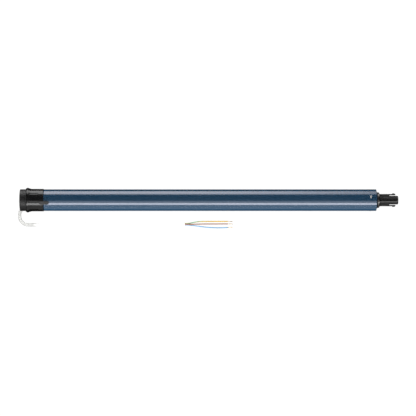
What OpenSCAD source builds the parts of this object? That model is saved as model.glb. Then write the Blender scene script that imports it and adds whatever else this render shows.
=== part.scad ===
// Tubular motor for a roller blind, with its head, crown ring, gear train, drive shaft and cable.
// X runs along the motor from the head's end face to the drive end, Z is up, sizes are in millimetres.

/* [Tube] */
// Outside diameter of the motor tube
tube_d = 35; // [30:0.5:45]
// Wall of the motor tube
tube_wall = 1; // [0.6:0.1:2]
// Length of the motor tube
tube_len = 541; // [520:1:700]
// Chamfer on the tube's end at the head
tube_chamfer = 0.4; // [0:0.1:0.6]
// Length of the tube's rolled-in end
roll_len = 2; // [1:0.1:3]
// How far the tube's end is rolled in
roll_in = 3.5; // [2:0.1:4]
// Thickness of the rolled end's lip, on the radius
lip_t = 0.8; // [0.5:0.1:1]
// Distance of the head's screws from the tube's end
head_screw_in = 13; // [10:0.5:14]
// Distance of the gearbox cover's screws from the tube's end
cover_screw_in = 10.4; // [8:0.1:12]
// Angle from straight up of the first of the gearbox cover's screws
cover_screw_angle = 18; // [0:1:90]
// Radius of the tube screws' heads
screw_head_r = 2; // [1.5:0.1:2.5]
// Height of the tube screws' heads
screw_head_h = 0.9; // [0.5:0.1:1.5]
// Radius of the tube screws' shanks
screw_shank_r = 1.2; // [0.8:0.1:1.4]
// Length of the tube screws' shanks under the head
screw_len = 4.5; // [3:0.5:5]

/* [Head] */
// Length of the head cap
cap_len = 9.5; // [9:0.5:14]
// How far the head cap stands out past the tube
cap_stand = 0.15; // [0:0.05:2]
// Edge rounding of the cap, as a chamfer
cap_edge = 0.8; // [0.3:0.1:1.5]
// Number of fine rings round the cap
cap_rings = 3; // [0:1:4]
// Width and depth of one fine ring groove
cap_ring_w = 0.6; // [0.3:0.1:0.9]
// Room between the neck and the tips of the crown's teeth
tooth_room = 0.57; // [0.4:0.01:1]
// Step from the spigot down to the neck's shoulder
shoulder_step = 0.8; // [0.5:0.1:1.5]
// Wall of the neck that the crown runs on
neck_wall = 3; // [2.5:0.1:4]
// Depth of the neck's plug in the cap
plug_len = 2; // [1:0.5:3]
// Length of the head's spigot in the tube
spigot_len = 18; // [12:1:25]
// Spacing of the two fixing holes in the end face
fix_spacing = 22; // [18:1:24]
// Radius of the fixing holes
fix_r = 2.1; // [1.6:0.1:2.6]
// Depth of the fixing holes
fix_depth = 6.5; // [4:0.5:7]
// Distance of the cap screws from the neck's outside
cap_screw_in = 2.9; // [2.5:0.1:3.5]
// Radius of the cap screws' shanks
cap_screw_r = 1.25; // [1:0.05:1.5]
// Length of the cap screws
cap_screw_len = 14; // [12:0.5:16]

/* [Set button] */
// Distance of the set button from the neck's bore
button_in = 3; // [2.5:0.1:4]
// Radius of the button's head
button_r = 3; // [2:0.1:3.5]
// Radius of the button's stem
stem_r = 1.5; // [1:0.1:2]
// How far the button can be pressed
button_travel = 0.8; // [0.4:0.1:1.2]

/* [Crown] */
// Length of the crown ring with its flange
crown_len = 28.9; // [26:0.1:34]
// How far the crown's sleeve stands out past the tube
crown_stand = 0.75; // [0.5:0.05:3]
// How far the crown's flange stands out past its sleeve
flange_stand = 2; // [1:0.1:5]
// Width of the crown's flange
flange_w = 5.3; // [3:0.1:7]
// Number of grooves round the sleeve
groove_n = 8; // [4:1:12]
// Width of one groove
groove_w = 3; // [1.5:0.1:4]
// Depth of one groove
groove_depth = 1; // [0.3:0.1:1.6]
// Length of one groove
groove_len = 15; // [8:0.5:18]
// Angle from straight up of the first groove
groove_phase = 35; // [0:1:45]
// Width of the driver tab
tab_w = 5.6; // [3:0.1:8]
// How far the driver tab reaches past the crown
tab_len = 9.1; // [5:0.1:12]
// Thickness of the driver tab
tab_t = 1.5; // [1:0.1:2.5]
// Angle of the driver tab from straight up
tab_angle = -14; // [-90:1:90]

/* [Encoder] */
// How far the crown's tooth roots stay inside the shoulder
root_step = 0.195; // [0.1:0.005:0.5]
// Width of the crown's inner gear
enc_gear_w = 7; // [5:0.5:8]
// Radius of the encoder pinion's spindle
enc_pin_r = 1; // [0.8:0.1:1.4]
// Thickness of the magnet
magnet_t = 1.8; // [1:0.1:2]
// Radius of the magnet
magnet_r = 2.2; // [1.5:0.1:2.3]
// Thickness of the sensor board
sensor_t = 1.6; // [1:0.1:2]

/* [Electronics] */
// Length of the board carrier
carrier_len = 122; // [118:1:130]
// Wall of the board carrier
carrier_wall = 1.9; // [1.5:0.1:2.5]
// Width of the carrier's end rings
carrier_ring_w = 5; // [3:0.5:8]
// Thickness of the control board
board_t = 1.6; // [1:0.1:2]
// Height of the control board's top above the axis
board_top = -6; // [-8:0.5:-5]
// Width of the way for the motor's leads along the top
lead_way_w = 8.8; // [7.5:0.1:12]
// Radius of a motor lead
lead_r = 0.8; // [0.5:0.1:0.9]
// Room between the run capacitor and the tube's bore
can_room = 3.1; // [3:0.1:6]
// Room for the run capacitor's tags
tag_room = 12; // [8:1:20]
// Room between the run capacitor and the motor
can_gap = 35; // [10:1:60]
// Width of a capacitor clip
clip_w = 4; // [2:0.5:8]

/* [Motor] */
// Length of the stator's stack
stator_len = 120; // [60:1:125]
// Depth of the stator from the tube to its bore
stator_depth = 7; // [6.5:0.1:8]
// Number of stator slots
slot_n = 12; // [6:1:16]
// Radius of one slot
slot_r = 1.5; // [1:0.1:1.6]
// Distance of the slots from the stator's outside
slot_in = 4.2; // [3.5:0.1:5]
// How far the winding's end turns stand out
turn_len = 8; // [5:0.5:9]
// Air gap between rotor and stator
air_gap = 0.3; // [0.2:0.05:0.6]
// Thickness of the cage's end rings
cage_t = 4; // [2:0.5:6]
// Number of cage bars
bar_n = 14; // [8:1:18]
// Radius of one cage bar
bar_r = 1; // [0.6:0.1:1.2]
// Radius of the rotor's shaft
shaft_r = 3; // [2.8:0.1:4]
// Depth of an end bell
bell_len = 16; // [14:0.5:20]
// Wall of an end bell
bell_wall = 5; // [4:0.5:6]
// Length of a rotor bush
bush_len = 10; // [6:0.5:12]
// Wall of a rotor bush
bush_wall = 2.5; // [1.5:0.1:3]

/* [Brake] */
// Length of the brake's housing
brake_len = 39; // [36:0.5:45]
// Wall of the brake's housing
brake_wall = 1.9; // [1.5:0.1:2.5]
// Length of the brake's coil
coil_len = 16; // [10:0.5:18]
// Thickness of the armature
armature_t = 5; // [3:0.5:6]
// Stroke of the armature
brake_stroke = 0.5; // [0.3:0.05:1]
// Wire diameter of the brake's spring
spring_wire = 1.2; // [0.8:0.1:1.4]
// Number of turns of the brake's spring
spring_turns = 5; // [3:1:7]

/* [Gearbox] */
// Wall of the gear housing outside its tooth roots
ring_wall = 2.1; // [1.5:0.1:3]
// Teeth of each sun gear
sun_z = 12; // [12:3:12]
// Teeth of each planet gear
planet_z = 15; // [15:3:15]
// Width of the first stage's planets
stage_w1 = 10; // [6:0.5:12]
// Width of the second stage's planets
stage_w2 = 14; // [8:0.5:16]
// Width of the third stage's planets
stage_w3 = 20; // [12:0.5:22]
// Thickness of a carrier plate
plate_t = 4; // [3:0.5:6]
// Radius of a planet's pin
planet_pin_r = 1.5; // [1.2:0.1:2]
// Tooth thinning on each flank, for backlash
thinning = 0.06; // [0.04:0.01:0.08]

/* [Output] */
// Length of the gearbox cover inside the tube
cover_len = 19; // [16:0.5:24]
// Length of the cover's cone outside the tube
cone_len = 2.2; // [1:0.1:5]
// How far the cone draws in towards its small end
cone_in = 0.6; // [0.2:0.1:1]
// Length of the bush's bright ring
bright_len = 2.6; // [1:0.1:3]
// Radius of the output shaft
out_r = 6; // [5:0.1:7]
// Wall of the output bush
out_bush_wall = 3; // [2:0.1:3.5]

/* [Drive shaft] */
// Length of the drive shaft
drive_len = 29.8; // [26:0.1:40]
// Diameter of the drive shaft's core
core_d = 14; // [12:0.1:16]
// Width over the drive shaft's side rails
rail_span = 19.8; // [18:0.1:24]
// Length of the side rails
rail_len = 15.5; // [10:0.5:18]
// Height of the side rails and latch arms
rail_h = 7; // [4:0.1:9]
// Width of the groove along the core
key_w = 1.6; // [0.8:0.1:3]
// Depth of the groove along the core
key_depth = 1.5; // [0.4:0.1:1.8]
// Side of the square end of the output shaft
square_w = 8; // [6:0.1:8.4]
// Length of a latch arm
arm_len = 9.6; // [7:0.1:11]
// Thickness of a latch arm
arm_t = 2; // [1.4:0.1:2.4]
// Height of a latch arm's hook
hook_h = 1.2; // [0.6:0.1:2]
// Radius of the drive screw's shank
drive_screw_r = 2; // [1.5:0.1:2.5]

/* [Cable] */
// Diameter of the cable's sheath
cable_d = 5.3; // [4.5:0.1:5.4]
// Diameter of one wire
wire_d = 1.7; // [1.2:0.1:1.8]
// Diameter of the bare strands
strand_d = 1.1; // [0.8:0.1:1.2]
// Length of the bare strands
strand_len = 8; // [4:0.5:12]

/* [Fits] */
// Running clearance of a shaft or ring, on the radius
run = 0.07; // [0.03:0.01:0.09]
// Gap between pieces that turn past each other
gap = 0.3; // [0.2:0.05:0.5]
// Room round the cable in the head
cable_room = 0.4; // [0.2:0.1:0.6]

/* [Hidden] */
$fn = 48;
e = 0.5;
tube_r = tube_d / 2;
bore_r = tube_r - tube_wall;
cap_d = tube_d + 2 * cap_stand;
crown_d = tube_d + 2 * crown_stand;
flange_d = crown_d + 2 * flange_stand;
crown_x0 = cap_len + gap;
crown_x1 = crown_x0 + crown_len;
tube_x0 = crown_x1 + gap;
tube_x1 = tube_x0 + tube_len;
spigot_x1 = tube_x0 + spigot_len;
roll_x0 = tube_x1 - roll_len;
lip_r = tube_r - roll_in;
cone_r1 = lip_r - lip_t;
cone_r2 = cone_r1 - cone_in;

// gear sizes common to all meshes
pressure = 25;
addendum = 0.9;
dedendum = 1.15;

// crown's inner gear and the encoder pinion
enc_ring_z = 42;
enc_pinion_z = 12;
shoulder_r = bore_r - shoulder_step;
enc_module = (shoulder_r - root_step) / (enc_ring_z / 2 + dedendum);
neck_r = enc_module * (enc_ring_z / 2 - addendum) - tooth_room;
neck_bore_r = neck_r - neck_wall;
cap_screw_pos = neck_r - cap_screw_in;
enc_pos = enc_module * (enc_ring_z - enc_pinion_z) / 2;
enc_x1 = crown_x1 - 6.7;
enc_x0 = enc_x1 - enc_gear_w;
shoulder_x = enc_x1 + gap;
boss_r = 2.4;
boss1_x0 = enc_x0 - 1.4;
magnet_x0 = boss1_x0 - 0.4 - magnet_t;
sensor_x1 = magnet_x0 - 1.5;
sensor_x0 = sensor_x1 - sensor_t;
switch_t = 1.6;
button_pos = neck_bore_r - button_in;
button_x0 = 0.4;
button_len = 4;
button_well = button_x0 + button_len + button_travel + 0.6;
stem_x1 = sensor_x0 - switch_t - button_travel - 0.1;

// cable: the way it takes out of the head, and its route, ending on the table
notch_angle = 219;
notch_x = 8.5;
way_turn = [10.4, -4.7, -3.9];
way_dir = [-0.546, -0.649, -0.53];
cable_route = [
    [33, -4.7, -3.9], [24, -4.7, -3.9], [16.4, -4.7, -3.9], [14.2, -4.9, -4], [12.1, -5.4, -4.4],
    [10.2, -6.2, -5.1], [8.5, -7.3, -6], [7.1, -8.6, -7.1], [5, -11.1, -9.1], [2.9, -13.6, -11.2],
    [1.2, -15.7, -12.9], [-0.5, -17.7, -14.3], [-1.5, -19.5, -15.4], [-2.2, -21.5, -16.3],
    [-2.6, -23.9, -17], [-2.7, -26.3, -17.4], [-2.2, -29.9, -17.6], [-0.7, -33.3, -17.6],
    [1.5, -36.2, -17.6], [4.4, -38.4, -17.6], [7.8, -39.8, -17.6], [11.4, -40.3, -17.6],
    [20, -40.4, -17.6], [35, -40.3, -17.6], [52, -40.2, -17.6], [69, -40.1, -17.6], [86, -40, -17.6],
    [103, -40, -17.6], [120, -40, -17.6], [137, -40, -17.6], [154, -39.9, -17.6], [171, -39.8, -17.6],
    [188, -39.7, -17.6], [205, -39.6, -17.6], [222, -39.5, -17.6], [239, -39.4, -17.6],
    [253, -39.4, -17.6], [267, -39.4, -17.6]
];
green_route = [
    [267, -38.4, -18.2], [271, -38.2, -18.3], [275, -37.8, -18.6], [280, -36.9, -19], [285, -35.9, -19.3],
    [290, -35.2, -19.4], [296, -34.9, -19.4], [302, -34.8, -19.4], [308, -34.8, -19.4], [314, -34.8, -19.4],
    [320, -34.8, -19.4], [326, -34.8, -19.4], [332, -34.8, -19.4], [335, -34.8, -19.4], [338, -34.8, -19.4]
];
brown_route = [
    [267, -39.4, -16.5], [271, -39.4, -16.5], [275, -39.4, -16.8], [280, -39.4, -17.5], [285, -39.3, -18.4],
    [290, -39.2, -19.1], [296, -39.1, -19.4], [302, -39, -19.4], [308, -39, -19.4], [314, -39, -19.4],
    [320, -39, -19.4], [326, -38.9, -19.4], [332, -38.9, -19.4], [335, -38.9, -19.4], [338, -38.9, -19.4]
];
blue_route = [
    [267, -40.4, -18.2], [271, -40.5, -18.3], [275, -40.8, -18.6], [280, -41.3, -19], [285, -42, -19.3],
    [290, -42.7, -19.4], [296, -43.5, -19.4], [302, -44.2, -19.4], [308, -44.7, -19.4], [314, -45, -19.4],
    [320, -45.2, -19.4], [326, -45.2, -19.4], [332, -45, -19.4], [335, -44.9, -19.4], [338, -44.7, -19.4]
];
cable_r = cable_d / 2;
clamp_x0 = boss1_x0 + 1;
clamp_x1 = clamp_x0 + 7;

// electronics, from the head's spigot on
pcb_x0 = spigot_x1 + carrier_ring_w + 1;
pcb_x1 = spigot_x1 + carrier_len - carrier_ring_w - 1;
pcb_w = 2 * sqrt(pow(bore_r - carrier_wall, 2) - pow(board_top - board_t, 2));
block_x0 = pcb_x0 + 4;
block_x1 = block_x0 + 10;
plug_x1 = pcb_x1 - 1;
lead_z = bore_r - lead_r - 1.1;
lead_pitch = 2.4;
can_x0 = spigot_x1 + carrier_len + tag_room;
cap_can_r = bore_r - can_room;

// gear train, from the drive end back
head_t = 0.8;
play = 0.3;
gear_x1 = tube_x1 - cover_len;
out_plate_t = plate_t + 2;
out_plate_x0 = gear_x1 - 1 - out_plate_t;
p3_x0 = out_plate_x0 - play - stage_w3;
plate2_x0 = p3_x0 - play - head_t - 0.4 - plate_t;
p2_x0 = plate2_x0 - play - stage_w2;
plate1_x0 = p2_x0 - play - head_t - 0.4 - plate_t;
p1_x0 = plate1_x0 - play - stage_w1;
gear_x0 = p1_x0 - play - head_t - 5;
ring_z = sun_z + 2 * planet_z;
gear_module = (bore_r - ring_wall) / (ring_z / 2 + dedendum);
planet_pos = gear_module * (sun_z + planet_z) / 2;
plate_r = gear_module * (ring_z / 2 - addendum) - gap;
planet_bore_r = planet_pin_r + run;
pinion_bore_r = 2;

// brake and motor, from the gear train back
brake_x0 = gear_x0 - brake_len;
coil_x0 = brake_x0 + 5;
armature_x0 = coil_x0 + coil_len + brake_stroke + 0.5;
armature_x1 = armature_x0 + armature_t;
disc_x0 = armature_x1 + 0.05;
brake_bore_r = bore_r - brake_wall;
coil_bore_r = 8;
spring_mid_r = coil_bore_r - spring_wire / 2 - 0.4;
lug_w = 4;
front_bell_x0 = brake_x0 - bell_len;
stator_x0 = front_bell_x0 - stator_len;
rear_bell_x0 = stator_x0 - bell_len;
cap_can_len = rear_bell_x0 - can_gap - can_x0;
stator_bore_r = bore_r - stator_depth;
slot_pos = bore_r - slot_in;
bush_r = shaft_r + run + bush_wall;
rotor_r = stator_bore_r - air_gap;
rotor_len = stator_len - 2 * (cage_t + 1);
rotor_x0 = stator_x0 + (stator_len - rotor_len) / 2;
bar_pos = rotor_r - bar_r - 0.5;
turn_r0 = slot_pos - slot_r;
turn_r1 = slot_pos + slot_r + 0.4;

// output and drive shaft
out_bush_r = out_r + run + out_bush_wall;
cone_x1 = tube_x1 + cone_len;
bright_x1 = cone_x1 + bright_len;
drive_x0 = bright_x1 + gap;
drive_x1 = drive_x0 + drive_len;
rail_x1 = drive_x0 + rail_len;
core_r = core_d / 2;
arm_y = (rail_span - arm_t) / 2;
knuckle_r = arm_t / 2 + 0.18;
square_x1 = drive_x1 - 9;
drive_head_r = 3.6;
drive_head_h = 3;

// tube screws: each one's place along the tube and angle from straight up
screw_places = concat(
    [for (a = [130, 230]) [tube_x0 + head_screw_in, a]],
    [for (k = [0:2]) [tube_x1 - cover_screw_in, cover_screw_angle + 120 * k]]
);

black = [0.05, 0.05, 0.055];
blue = [0.12, 0.24, 0.33];
white = [0.92, 0.92, 0.9];
steel = [0.7, 0.71, 0.73];
bronze = [0.6, 0.45, 0.25];
copper = [0.72, 0.4, 0.22];
board_green = [0.1, 0.32, 0.18];

// stands a flat shape's plane across the motor: its X goes to Y, its Y to Z, and it is drawn out along X
module across(x) {
    translate([x, 0, 0])
        rotate([90, 0, 90])
            children();
}

// a solid turned round the motor's axis from points [place along X, radius]
module turned(points) {
    rotate([90, 0, 90])
        rotate_extrude()
            polygon([for (p = points) [p[1], p[0]]]);
}

// a round bar along the motor's axis
module bar(x0, x1, r) {
    across(x0)
        cylinder(h = x1 - x0, r = r);
}

// a round tube along the motor's axis
module pipe(x0, x1, r_in, r_out) {
    turned([[x0, r_in], [x1, r_in], [x1, r_out], [x0, r_out]]);
}

// a block given by its two corners
module block(low, high) {
    translate(low)
        cube(high - low);
}

// puts a thing that points along +Z from the axis at an angle from straight up, towards +Y
module round_the_axis(x, angle) {
    translate([x, 0, 0])
        rotate([-angle, 0, 0])
            children();
}

// points a thing that lies along +Z along a direction
module pointing(dir) {
    rotate([0, acos(dir[2] / norm(dir)), atan2(dir[1], dir[0])])
        children();
}

// half angle of a tooth at radius r, in degrees
function involute(a) = tan(a) * 180 / PI - a;
function half_tooth(m, z, r, wide) =
    90 / z + wide / (m * z / 2) * 180 / PI + involute(pressure)
    - involute(acos(min(1, m * z / 2 * cos(pressure) / r)));

// outline of a gear with a tooth on its first axis, add and ded in modules, wide for thicker teeth
module gear_shape(m, z, add, ded, wide) {
    r0 = m * (z / 2 - ded);
    r1 = m * (z / 2 + add);
    steps = 4;
    radii = [for (k = [0:steps]) r0 + (r1 - r0) * k / steps];
    polygon([
        for (i = [0:z - 1], k = [0:2 * steps + 1])
            let (
                up = k <= steps,
                r = radii[up ? k : 2 * steps + 1 - k],
                a = 360 * i / z + (up ? -1 : 1) * half_tooth(m, z, r, wide)
            )
            [r * cos(a), r * sin(a)]
    ]);
}

// rings of a swept tube: each lies across the way between its neighbours
function unit(v) = v / norm(v);
function way_at(p, i) = unit(p[min(i + 1, len(p) - 1)] - p[max(i - 1, 0)]);
function side_of(w) = unit(cross(w, [0.02, 0.01, 1]));
function ring_at(p, i, r, n) =
    let (w = way_at(p, i), s = side_of(w), t = cross(s, w))
    [for (k = [0:n - 1]) p[i] + r * (cos(360 * k / n) * s + sin(360 * k / n) * t)];

// a tube along points, with a radius at each of them
module swept(points, radii, sides) {
    rows = len(points);
    polyhedron(
        points = [for (i = [0:rows - 1]) each ring_at(points, i, radii[i], sides)],
        faces = concat(
            [[for (k = [0:sides - 1]) k]],
            [
                for (i = [0:rows - 2], k = [0:sides - 1])
                    [
                        i * sides + k, (i + 1) * sides + k,
                        (i + 1) * sides + (k + 1) % sides, i * sides + (k + 1) % sides
                    ]
            ],
            [[for (k = [sides - 1:-1:0]) (rows - 1) * sides + k]]
        )
    );
}

// the straight way that the cable takes through the head's wall
module cable_way(room) {
    translate(way_turn)
        pointing(way_dir)
            cylinder(h = 30, r = cable_r + room);
}

// the room along the top that the motor's leads run in
module lead_way(x0, x1) {
    block([x0, -lead_way_w / 2, lead_z - lead_r - 0.2], [x1, lead_way_w / 2, bore_r + 1]);
}

// places of the two cap screws, at opposite corners of the neck
module at_cap_screws() {
    for (a = [135, 315])
        rotate([a, 0, 0])
            translate([0, cap_screw_pos, 0])
                children();
}

module head_cap() {
    color(black)
        difference() {
            turned([
                [0, 0], [0, cap_d / 2 - cap_edge], [cap_edge, cap_d / 2], [cap_len, cap_d / 2],
                [cap_len, neck_r], [cap_len - plug_len, neck_r], [cap_len - plug_len, 0]
            ]);
            for (k = [0:1:cap_rings - 1])
                pipe(
                    cap_edge + 1.2 + 2.2 * k, cap_edge + 1.2 + 2.2 * k + cap_ring_w,
                    cap_d / 2 - cap_ring_w / 2, cap_d / 2 + e
                );
            for (s = [-1, 1])
                translate([0, 0, s * fix_spacing / 2])
                    bar(-e, fix_depth, fix_r);
            at_cap_screws() {
                bar(-e, cap_len, cap_screw_r);
                turned([[-e, 0], [-e, 2 * cap_screw_r + e], [2 * cap_screw_r - cap_screw_r, cap_screw_r],
                    [2 * cap_screw_r, 0]]);
            }
            translate([0, button_pos, 0]) {
                bar(-e, button_well, button_r + run);
                bar(0, cap_len, stem_r + run);
            }
            rotate([notch_angle, 0, 0])
                block([-e, 6, -cable_r - cable_room], [notch_x, cap_d, cable_r + cable_room]);
            cable_way(cable_room);
        }
}

module head_body() {
    x0 = cap_len - plug_len;
    color(black * 1.4)
        difference() {
            union() {
                turned([
                    [x0, neck_bore_r], [x0, neck_r], [shoulder_x, neck_r], [shoulder_x, shoulder_r],
                    [tube_x0, shoulder_r], [tube_x0, bore_r], [spigot_x1, bore_r], [spigot_x1, neck_bore_r]
                ]);
                at_cap_screws()
                    bar(x0 + gap, sensor_x0 - 1, neck_r - cap_screw_pos - 0.1);
                translate([0, 0, enc_pos])
                    bar(boss1_x0, shoulder_x + 4, boss_r);
                intersection() {
                    bar(clamp_x0, clamp_x1, neck_bore_r + 1);
                    block([clamp_x0, -20, -20], [clamp_x1, 20, way_turn[2]]);
                }
            }
            at_cap_screws()
                bar(0, cap_screw_len, cap_screw_r);
            translate([0, 0, enc_pos]) {
                bar(enc_x0, enc_x1, enc_module * (enc_pinion_z / 2 + addendum) + gap);
                bar(sensor_x1, shoulder_x + 2.5, enc_pin_r + run);
                bar(sensor_x1, boss1_x0, magnet_r + gap);
            }
            translate([0, way_turn[1], way_turn[2]])
                bar(clamp_x0 - e, clamp_x1 + e, cable_r);
            cable_way(cable_room + 0.4);
            tube_screw_holes();
        }
}

module head_screws() {
    color(steel)
        at_cap_screws()
            difference() {
                turned([
                    [0, 0], [0, 2 * cap_screw_r], [cap_screw_r, cap_screw_r],
                    [cap_screw_len, cap_screw_r], [cap_screw_len, 0]
                ]);
                for (a = [0, 90])
                    rotate([a, 0, 0])
                        block([-e, -1.6, -0.25], [0.7, 1.6, 0.25]);
            }
}

module cable_clamp() {
    color(white * 0.8)
        difference() {
            intersection() {
                bar(clamp_x0, clamp_x1, neck_bore_r);
                block([clamp_x0, -20, way_turn[2]], [clamp_x1, way_turn[1] + cable_r + 4, 2]);
            }
            translate([0, way_turn[1], way_turn[2]])
                bar(clamp_x0 - e, clamp_x1 + e, cable_r);
        }
}

module sensor_board() {
    slot = cable_r + 0.6;
    color(board_green)
        difference() {
            union() {
                bar(sensor_x0, sensor_x1, neck_bore_r);
                block(
                    [sensor_x0 - switch_t, button_pos - 2.5, -2.5], [sensor_x0, button_pos + 1.6, 2.5]
                );
                block([sensor_x1, -2, enc_pos - 3.4], [sensor_x1 + 1, 2, enc_pos - 0.6]);
            }
            translate([0, way_turn[1], way_turn[2]])
                bar(0, sensor_x1 + e, slot);
            block([0, -20, way_turn[2] - slot], [sensor_x1 + e, way_turn[1], way_turn[2] + slot]);
        }
}

module set_button() {
    color([0.75, 0.2, 0.12])
        translate([0, button_pos, 0])
            turned([
                [button_x0, 0], [button_x0, button_r - 0.4], [button_x0 + 0.4, button_r],
                [button_x0 + button_len, button_r], [button_x0 + button_len, stem_r], [stem_x1, stem_r],
                [stem_x1, 0]
            ]);
}

module crown_ring() {
    peak = crown_x0 + flange_w * 0.4;
    tab_r0 = tube_r + gap;
    color(black)
        difference() {
            union() {
                turned([
                    [crown_x0, neck_r + run], [crown_x0, flange_d / 2 - 1.2], [peak - 0.8, flange_d / 2],
                    [peak, flange_d / 2], [crown_x0 + flange_w, crown_d / 2],
                    [crown_x1 - 0.5, crown_d / 2], [crown_x1, crown_d / 2 - 0.5], [crown_x1, shoulder_r + run],
                    [enc_x1, shoulder_r + run], [enc_x1, neck_r + run]
                ]);
                intersection() {
                    pipe(crown_x1 - 4, crown_x1 + tab_len, tab_r0, tab_r0 + tab_t);
                    round_the_axis(crown_x1, tab_angle)
                        linear_extrude(tube_d)
                            polygon(concat(
                                [[-5, tab_w / 2], [-5, -tab_w / 2]],
                                [
                                    for (a = [-90:15:90])
                                        [tab_len - tab_w / 2, 0] + tab_w / 2 * [cos(a), sin(a)]
                                ]
                            ));
                }
            }
            across(enc_x0)
                rotate(90)
                    linear_extrude(enc_gear_w)
                        gear_shape(enc_module, enc_ring_z, dedendum, addendum, thinning);
            for (k = [0:groove_n - 1])
                round_the_axis(crown_x0 + flange_w, groove_phase + 360 * k / groove_n) {
                    block(
                        [0.6, -groove_w / 2, crown_d / 2 - groove_depth],
                        [groove_len - groove_w / 2, groove_w / 2, crown_d]
                    );
                    translate([groove_len - groove_w / 2, 0, crown_d / 2 - groove_depth])
                        cylinder(h = crown_d, d = groove_w);
                }
        }
}

module encoder_pinion() {
    color([0.85, 0.83, 0.78])
        translate([0, 0, enc_pos]) {
            across(enc_x0 + gap)
                rotate(90)
                    linear_extrude(enc_gear_w - 2 * gap)
                        gear_shape(enc_module, enc_pinion_z, addendum, dedendum, -thinning);
            bar(boss1_x0 - 0.4, shoulder_x + 2.3, enc_pin_r);
        }
}

module encoder_magnet() {
    color([0.25, 0.25, 0.27])
        translate([0, 0, enc_pos])
            bar(magnet_x0, magnet_x0 + magnet_t, magnet_r);
}

// holes for the tube screws, with a flat seat for each head
module tube_screw_holes() {
    for (p = screw_places)
        round_the_axis(p[0], p[1]) {
            cylinder(h = tube_d, r = screw_shank_r);
            translate([0, 0, tube_r - 0.3])
                cylinder(h = tube_d, r = screw_head_r);
        }
}

module motor_tube() {
    color(blue)
        difference() {
            turned([
                [tube_x0, bore_r], [tube_x0, tube_r - tube_chamfer], [tube_x0 + tube_chamfer, tube_r],
                [roll_x0, tube_r], [tube_x1, lip_r], [tube_x1, cone_r1], [roll_x0 - tube_wall / 2, bore_r]
            ]);
            tube_screw_holes();
        }
}

module tube_screws() {
    color(steel)
        for (p = screw_places)
            round_the_axis(p[0], p[1])
                translate([0, 0, tube_r - 0.3])
                    difference() {
                        union() {
                            cylinder(h = screw_head_h, r = screw_head_r);
                            translate([0, 0, -screw_len])
                                cylinder(h = screw_len, r = screw_shank_r);
                        }
                        for (a = [0, 90])
                            rotate(a)
                                block(
                                    [-screw_head_r * 0.6, -0.2, screw_head_h - 0.5],
                                    [screw_head_r * 0.6, 0.2, screw_head_h + e]
                                );
                    }
}

module board_carrier() {
    x0 = spigot_x1;
    x1 = x0 + carrier_len;
    r0 = bore_r - carrier_wall;
    color([0.3, 0.3, 0.32])
        difference() {
            union() {
                pipe(x0, x0 + carrier_ring_w, r0, bore_r);
                pipe(x1 - carrier_ring_w, x1, r0, bore_r);
                intersection() {
                    pipe(x0, x1, r0, bore_r);
                    block([x0, -tube_d, -tube_d], [x1, tube_d, board_top]);
                }
            }
            lead_way(x1 - carrier_ring_w - e, x1 + e);
        }
}

module control_board() {
    color(board_green)
        block([pcb_x0, -pcb_w / 2, board_top - board_t], [pcb_x1, pcb_w / 2, board_top]);
}

module terminal_block() {
    color([0.15, 0.45, 0.25])
        difference() {
            block([block_x0, way_turn[1] - 4.5, board_top], [block_x1, way_turn[1] + 4.5, board_top + 9]);
            for (k = [-1:1])
                translate([block_x0 + 6.5, way_turn[1] + k * 2.6, board_top + 7.5])
                    cylinder(h = 3, r = 0.9);
        }
}

module supply_leads() {
    color(copper)
        for (k = [-1:1])
            translate([0, way_turn[1] + k * 1.7, way_turn[2]])
                bar(cable_route[0][0], block_x0, 0.75);
}

module power_module() {
    x0 = block_x1 + 5;
    color([0.85, 0.75, 0.3]) {
        block([x0, -10, board_top], [x0 + 22, 10, board_top + 3]);
        block([x0 + 4, -10, board_top + 3], [x0 + 18, 10, board_top + 15]);
    }
}

module relays() {
    x0 = block_x1 + 31;
    color([0.1, 0.12, 0.16])
        for (k = [0:1])
            translate([x0 + 21 * k, 0, 0])
                block([0, -7.5, board_top], [18.5, 7.5, board_top + 15]);
}

module radio_module() {
    x0 = plug_x1 - 18;
    y0 = 2 - pcb_w / 2;
    color([0.12, 0.2, 0.4]) {
        block([x0, y0, board_top], [x0 + 15, y0 + 1.5, board_top + 12]);
        block([x0 + 3, y0 + 1, board_top + 3], [x0 + 10, y0 + 2.7, board_top + 9]);
    }
}

module motor_connector() {
    color(white)
        block([plug_x1 - 12, -4, board_top], [plug_x1, 4, lead_z + lead_r]);
}

module motor_leads() {
    color([0.7, 0.12, 0.1])
        for (k = [-1:1])
            translate([0, k * lead_pitch, lead_z])
                bar(plug_x1, stator_x0 - turn_len, lead_r);
}

module run_capacitor() {
    color([0.75, 0.75, 0.72]) {
        turned([
            [can_x0, 0], [can_x0, cap_can_r - 1], [can_x0 + 1, cap_can_r],
            [can_x0 + cap_can_len - 1, cap_can_r], [can_x0 + cap_can_len, cap_can_r - 1],
            [can_x0 + cap_can_len, 0]
        ]);
        for (s = [-1, 1])
            block([can_x0 - 6, s * 5 - 2.4, -0.4], [can_x0 + 1, s * 5 + 2.4, 0.4]);
    }
}

module capacitor_clips() {
    color([0.3, 0.3, 0.32])
        for (x = [can_x0 + 6, can_x0 + cap_can_len - 6 - clip_w])
            difference() {
                pipe(x, x + clip_w, cap_can_r, bore_r);
                lead_way(x - e, x + clip_w + e);
            }
}

// a motor end bell with its wall at x and its open side towards way, +1 or -1
module bell(x, way) {
    turned([
        [x, bush_r], [x, bore_r], [x + way * bell_len, bore_r], [x + way * bell_len, bore_r - 1.4],
        [x + way * bell_wall, bore_r - 1.4], [x + way * bell_wall, bush_r + 2],
        [x + way * bush_len, bush_r + 2], [x + way * bush_len, bush_r]
    ]);
}

module rear_bell() {
    color(steel)
        difference() {
            bell(rear_bell_x0, 1);
            lead_way(rear_bell_x0 - e, stator_x0 + e);
        }
}

module front_bell() {
    color(steel)
        bell(brake_x0, -1);
}

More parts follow.
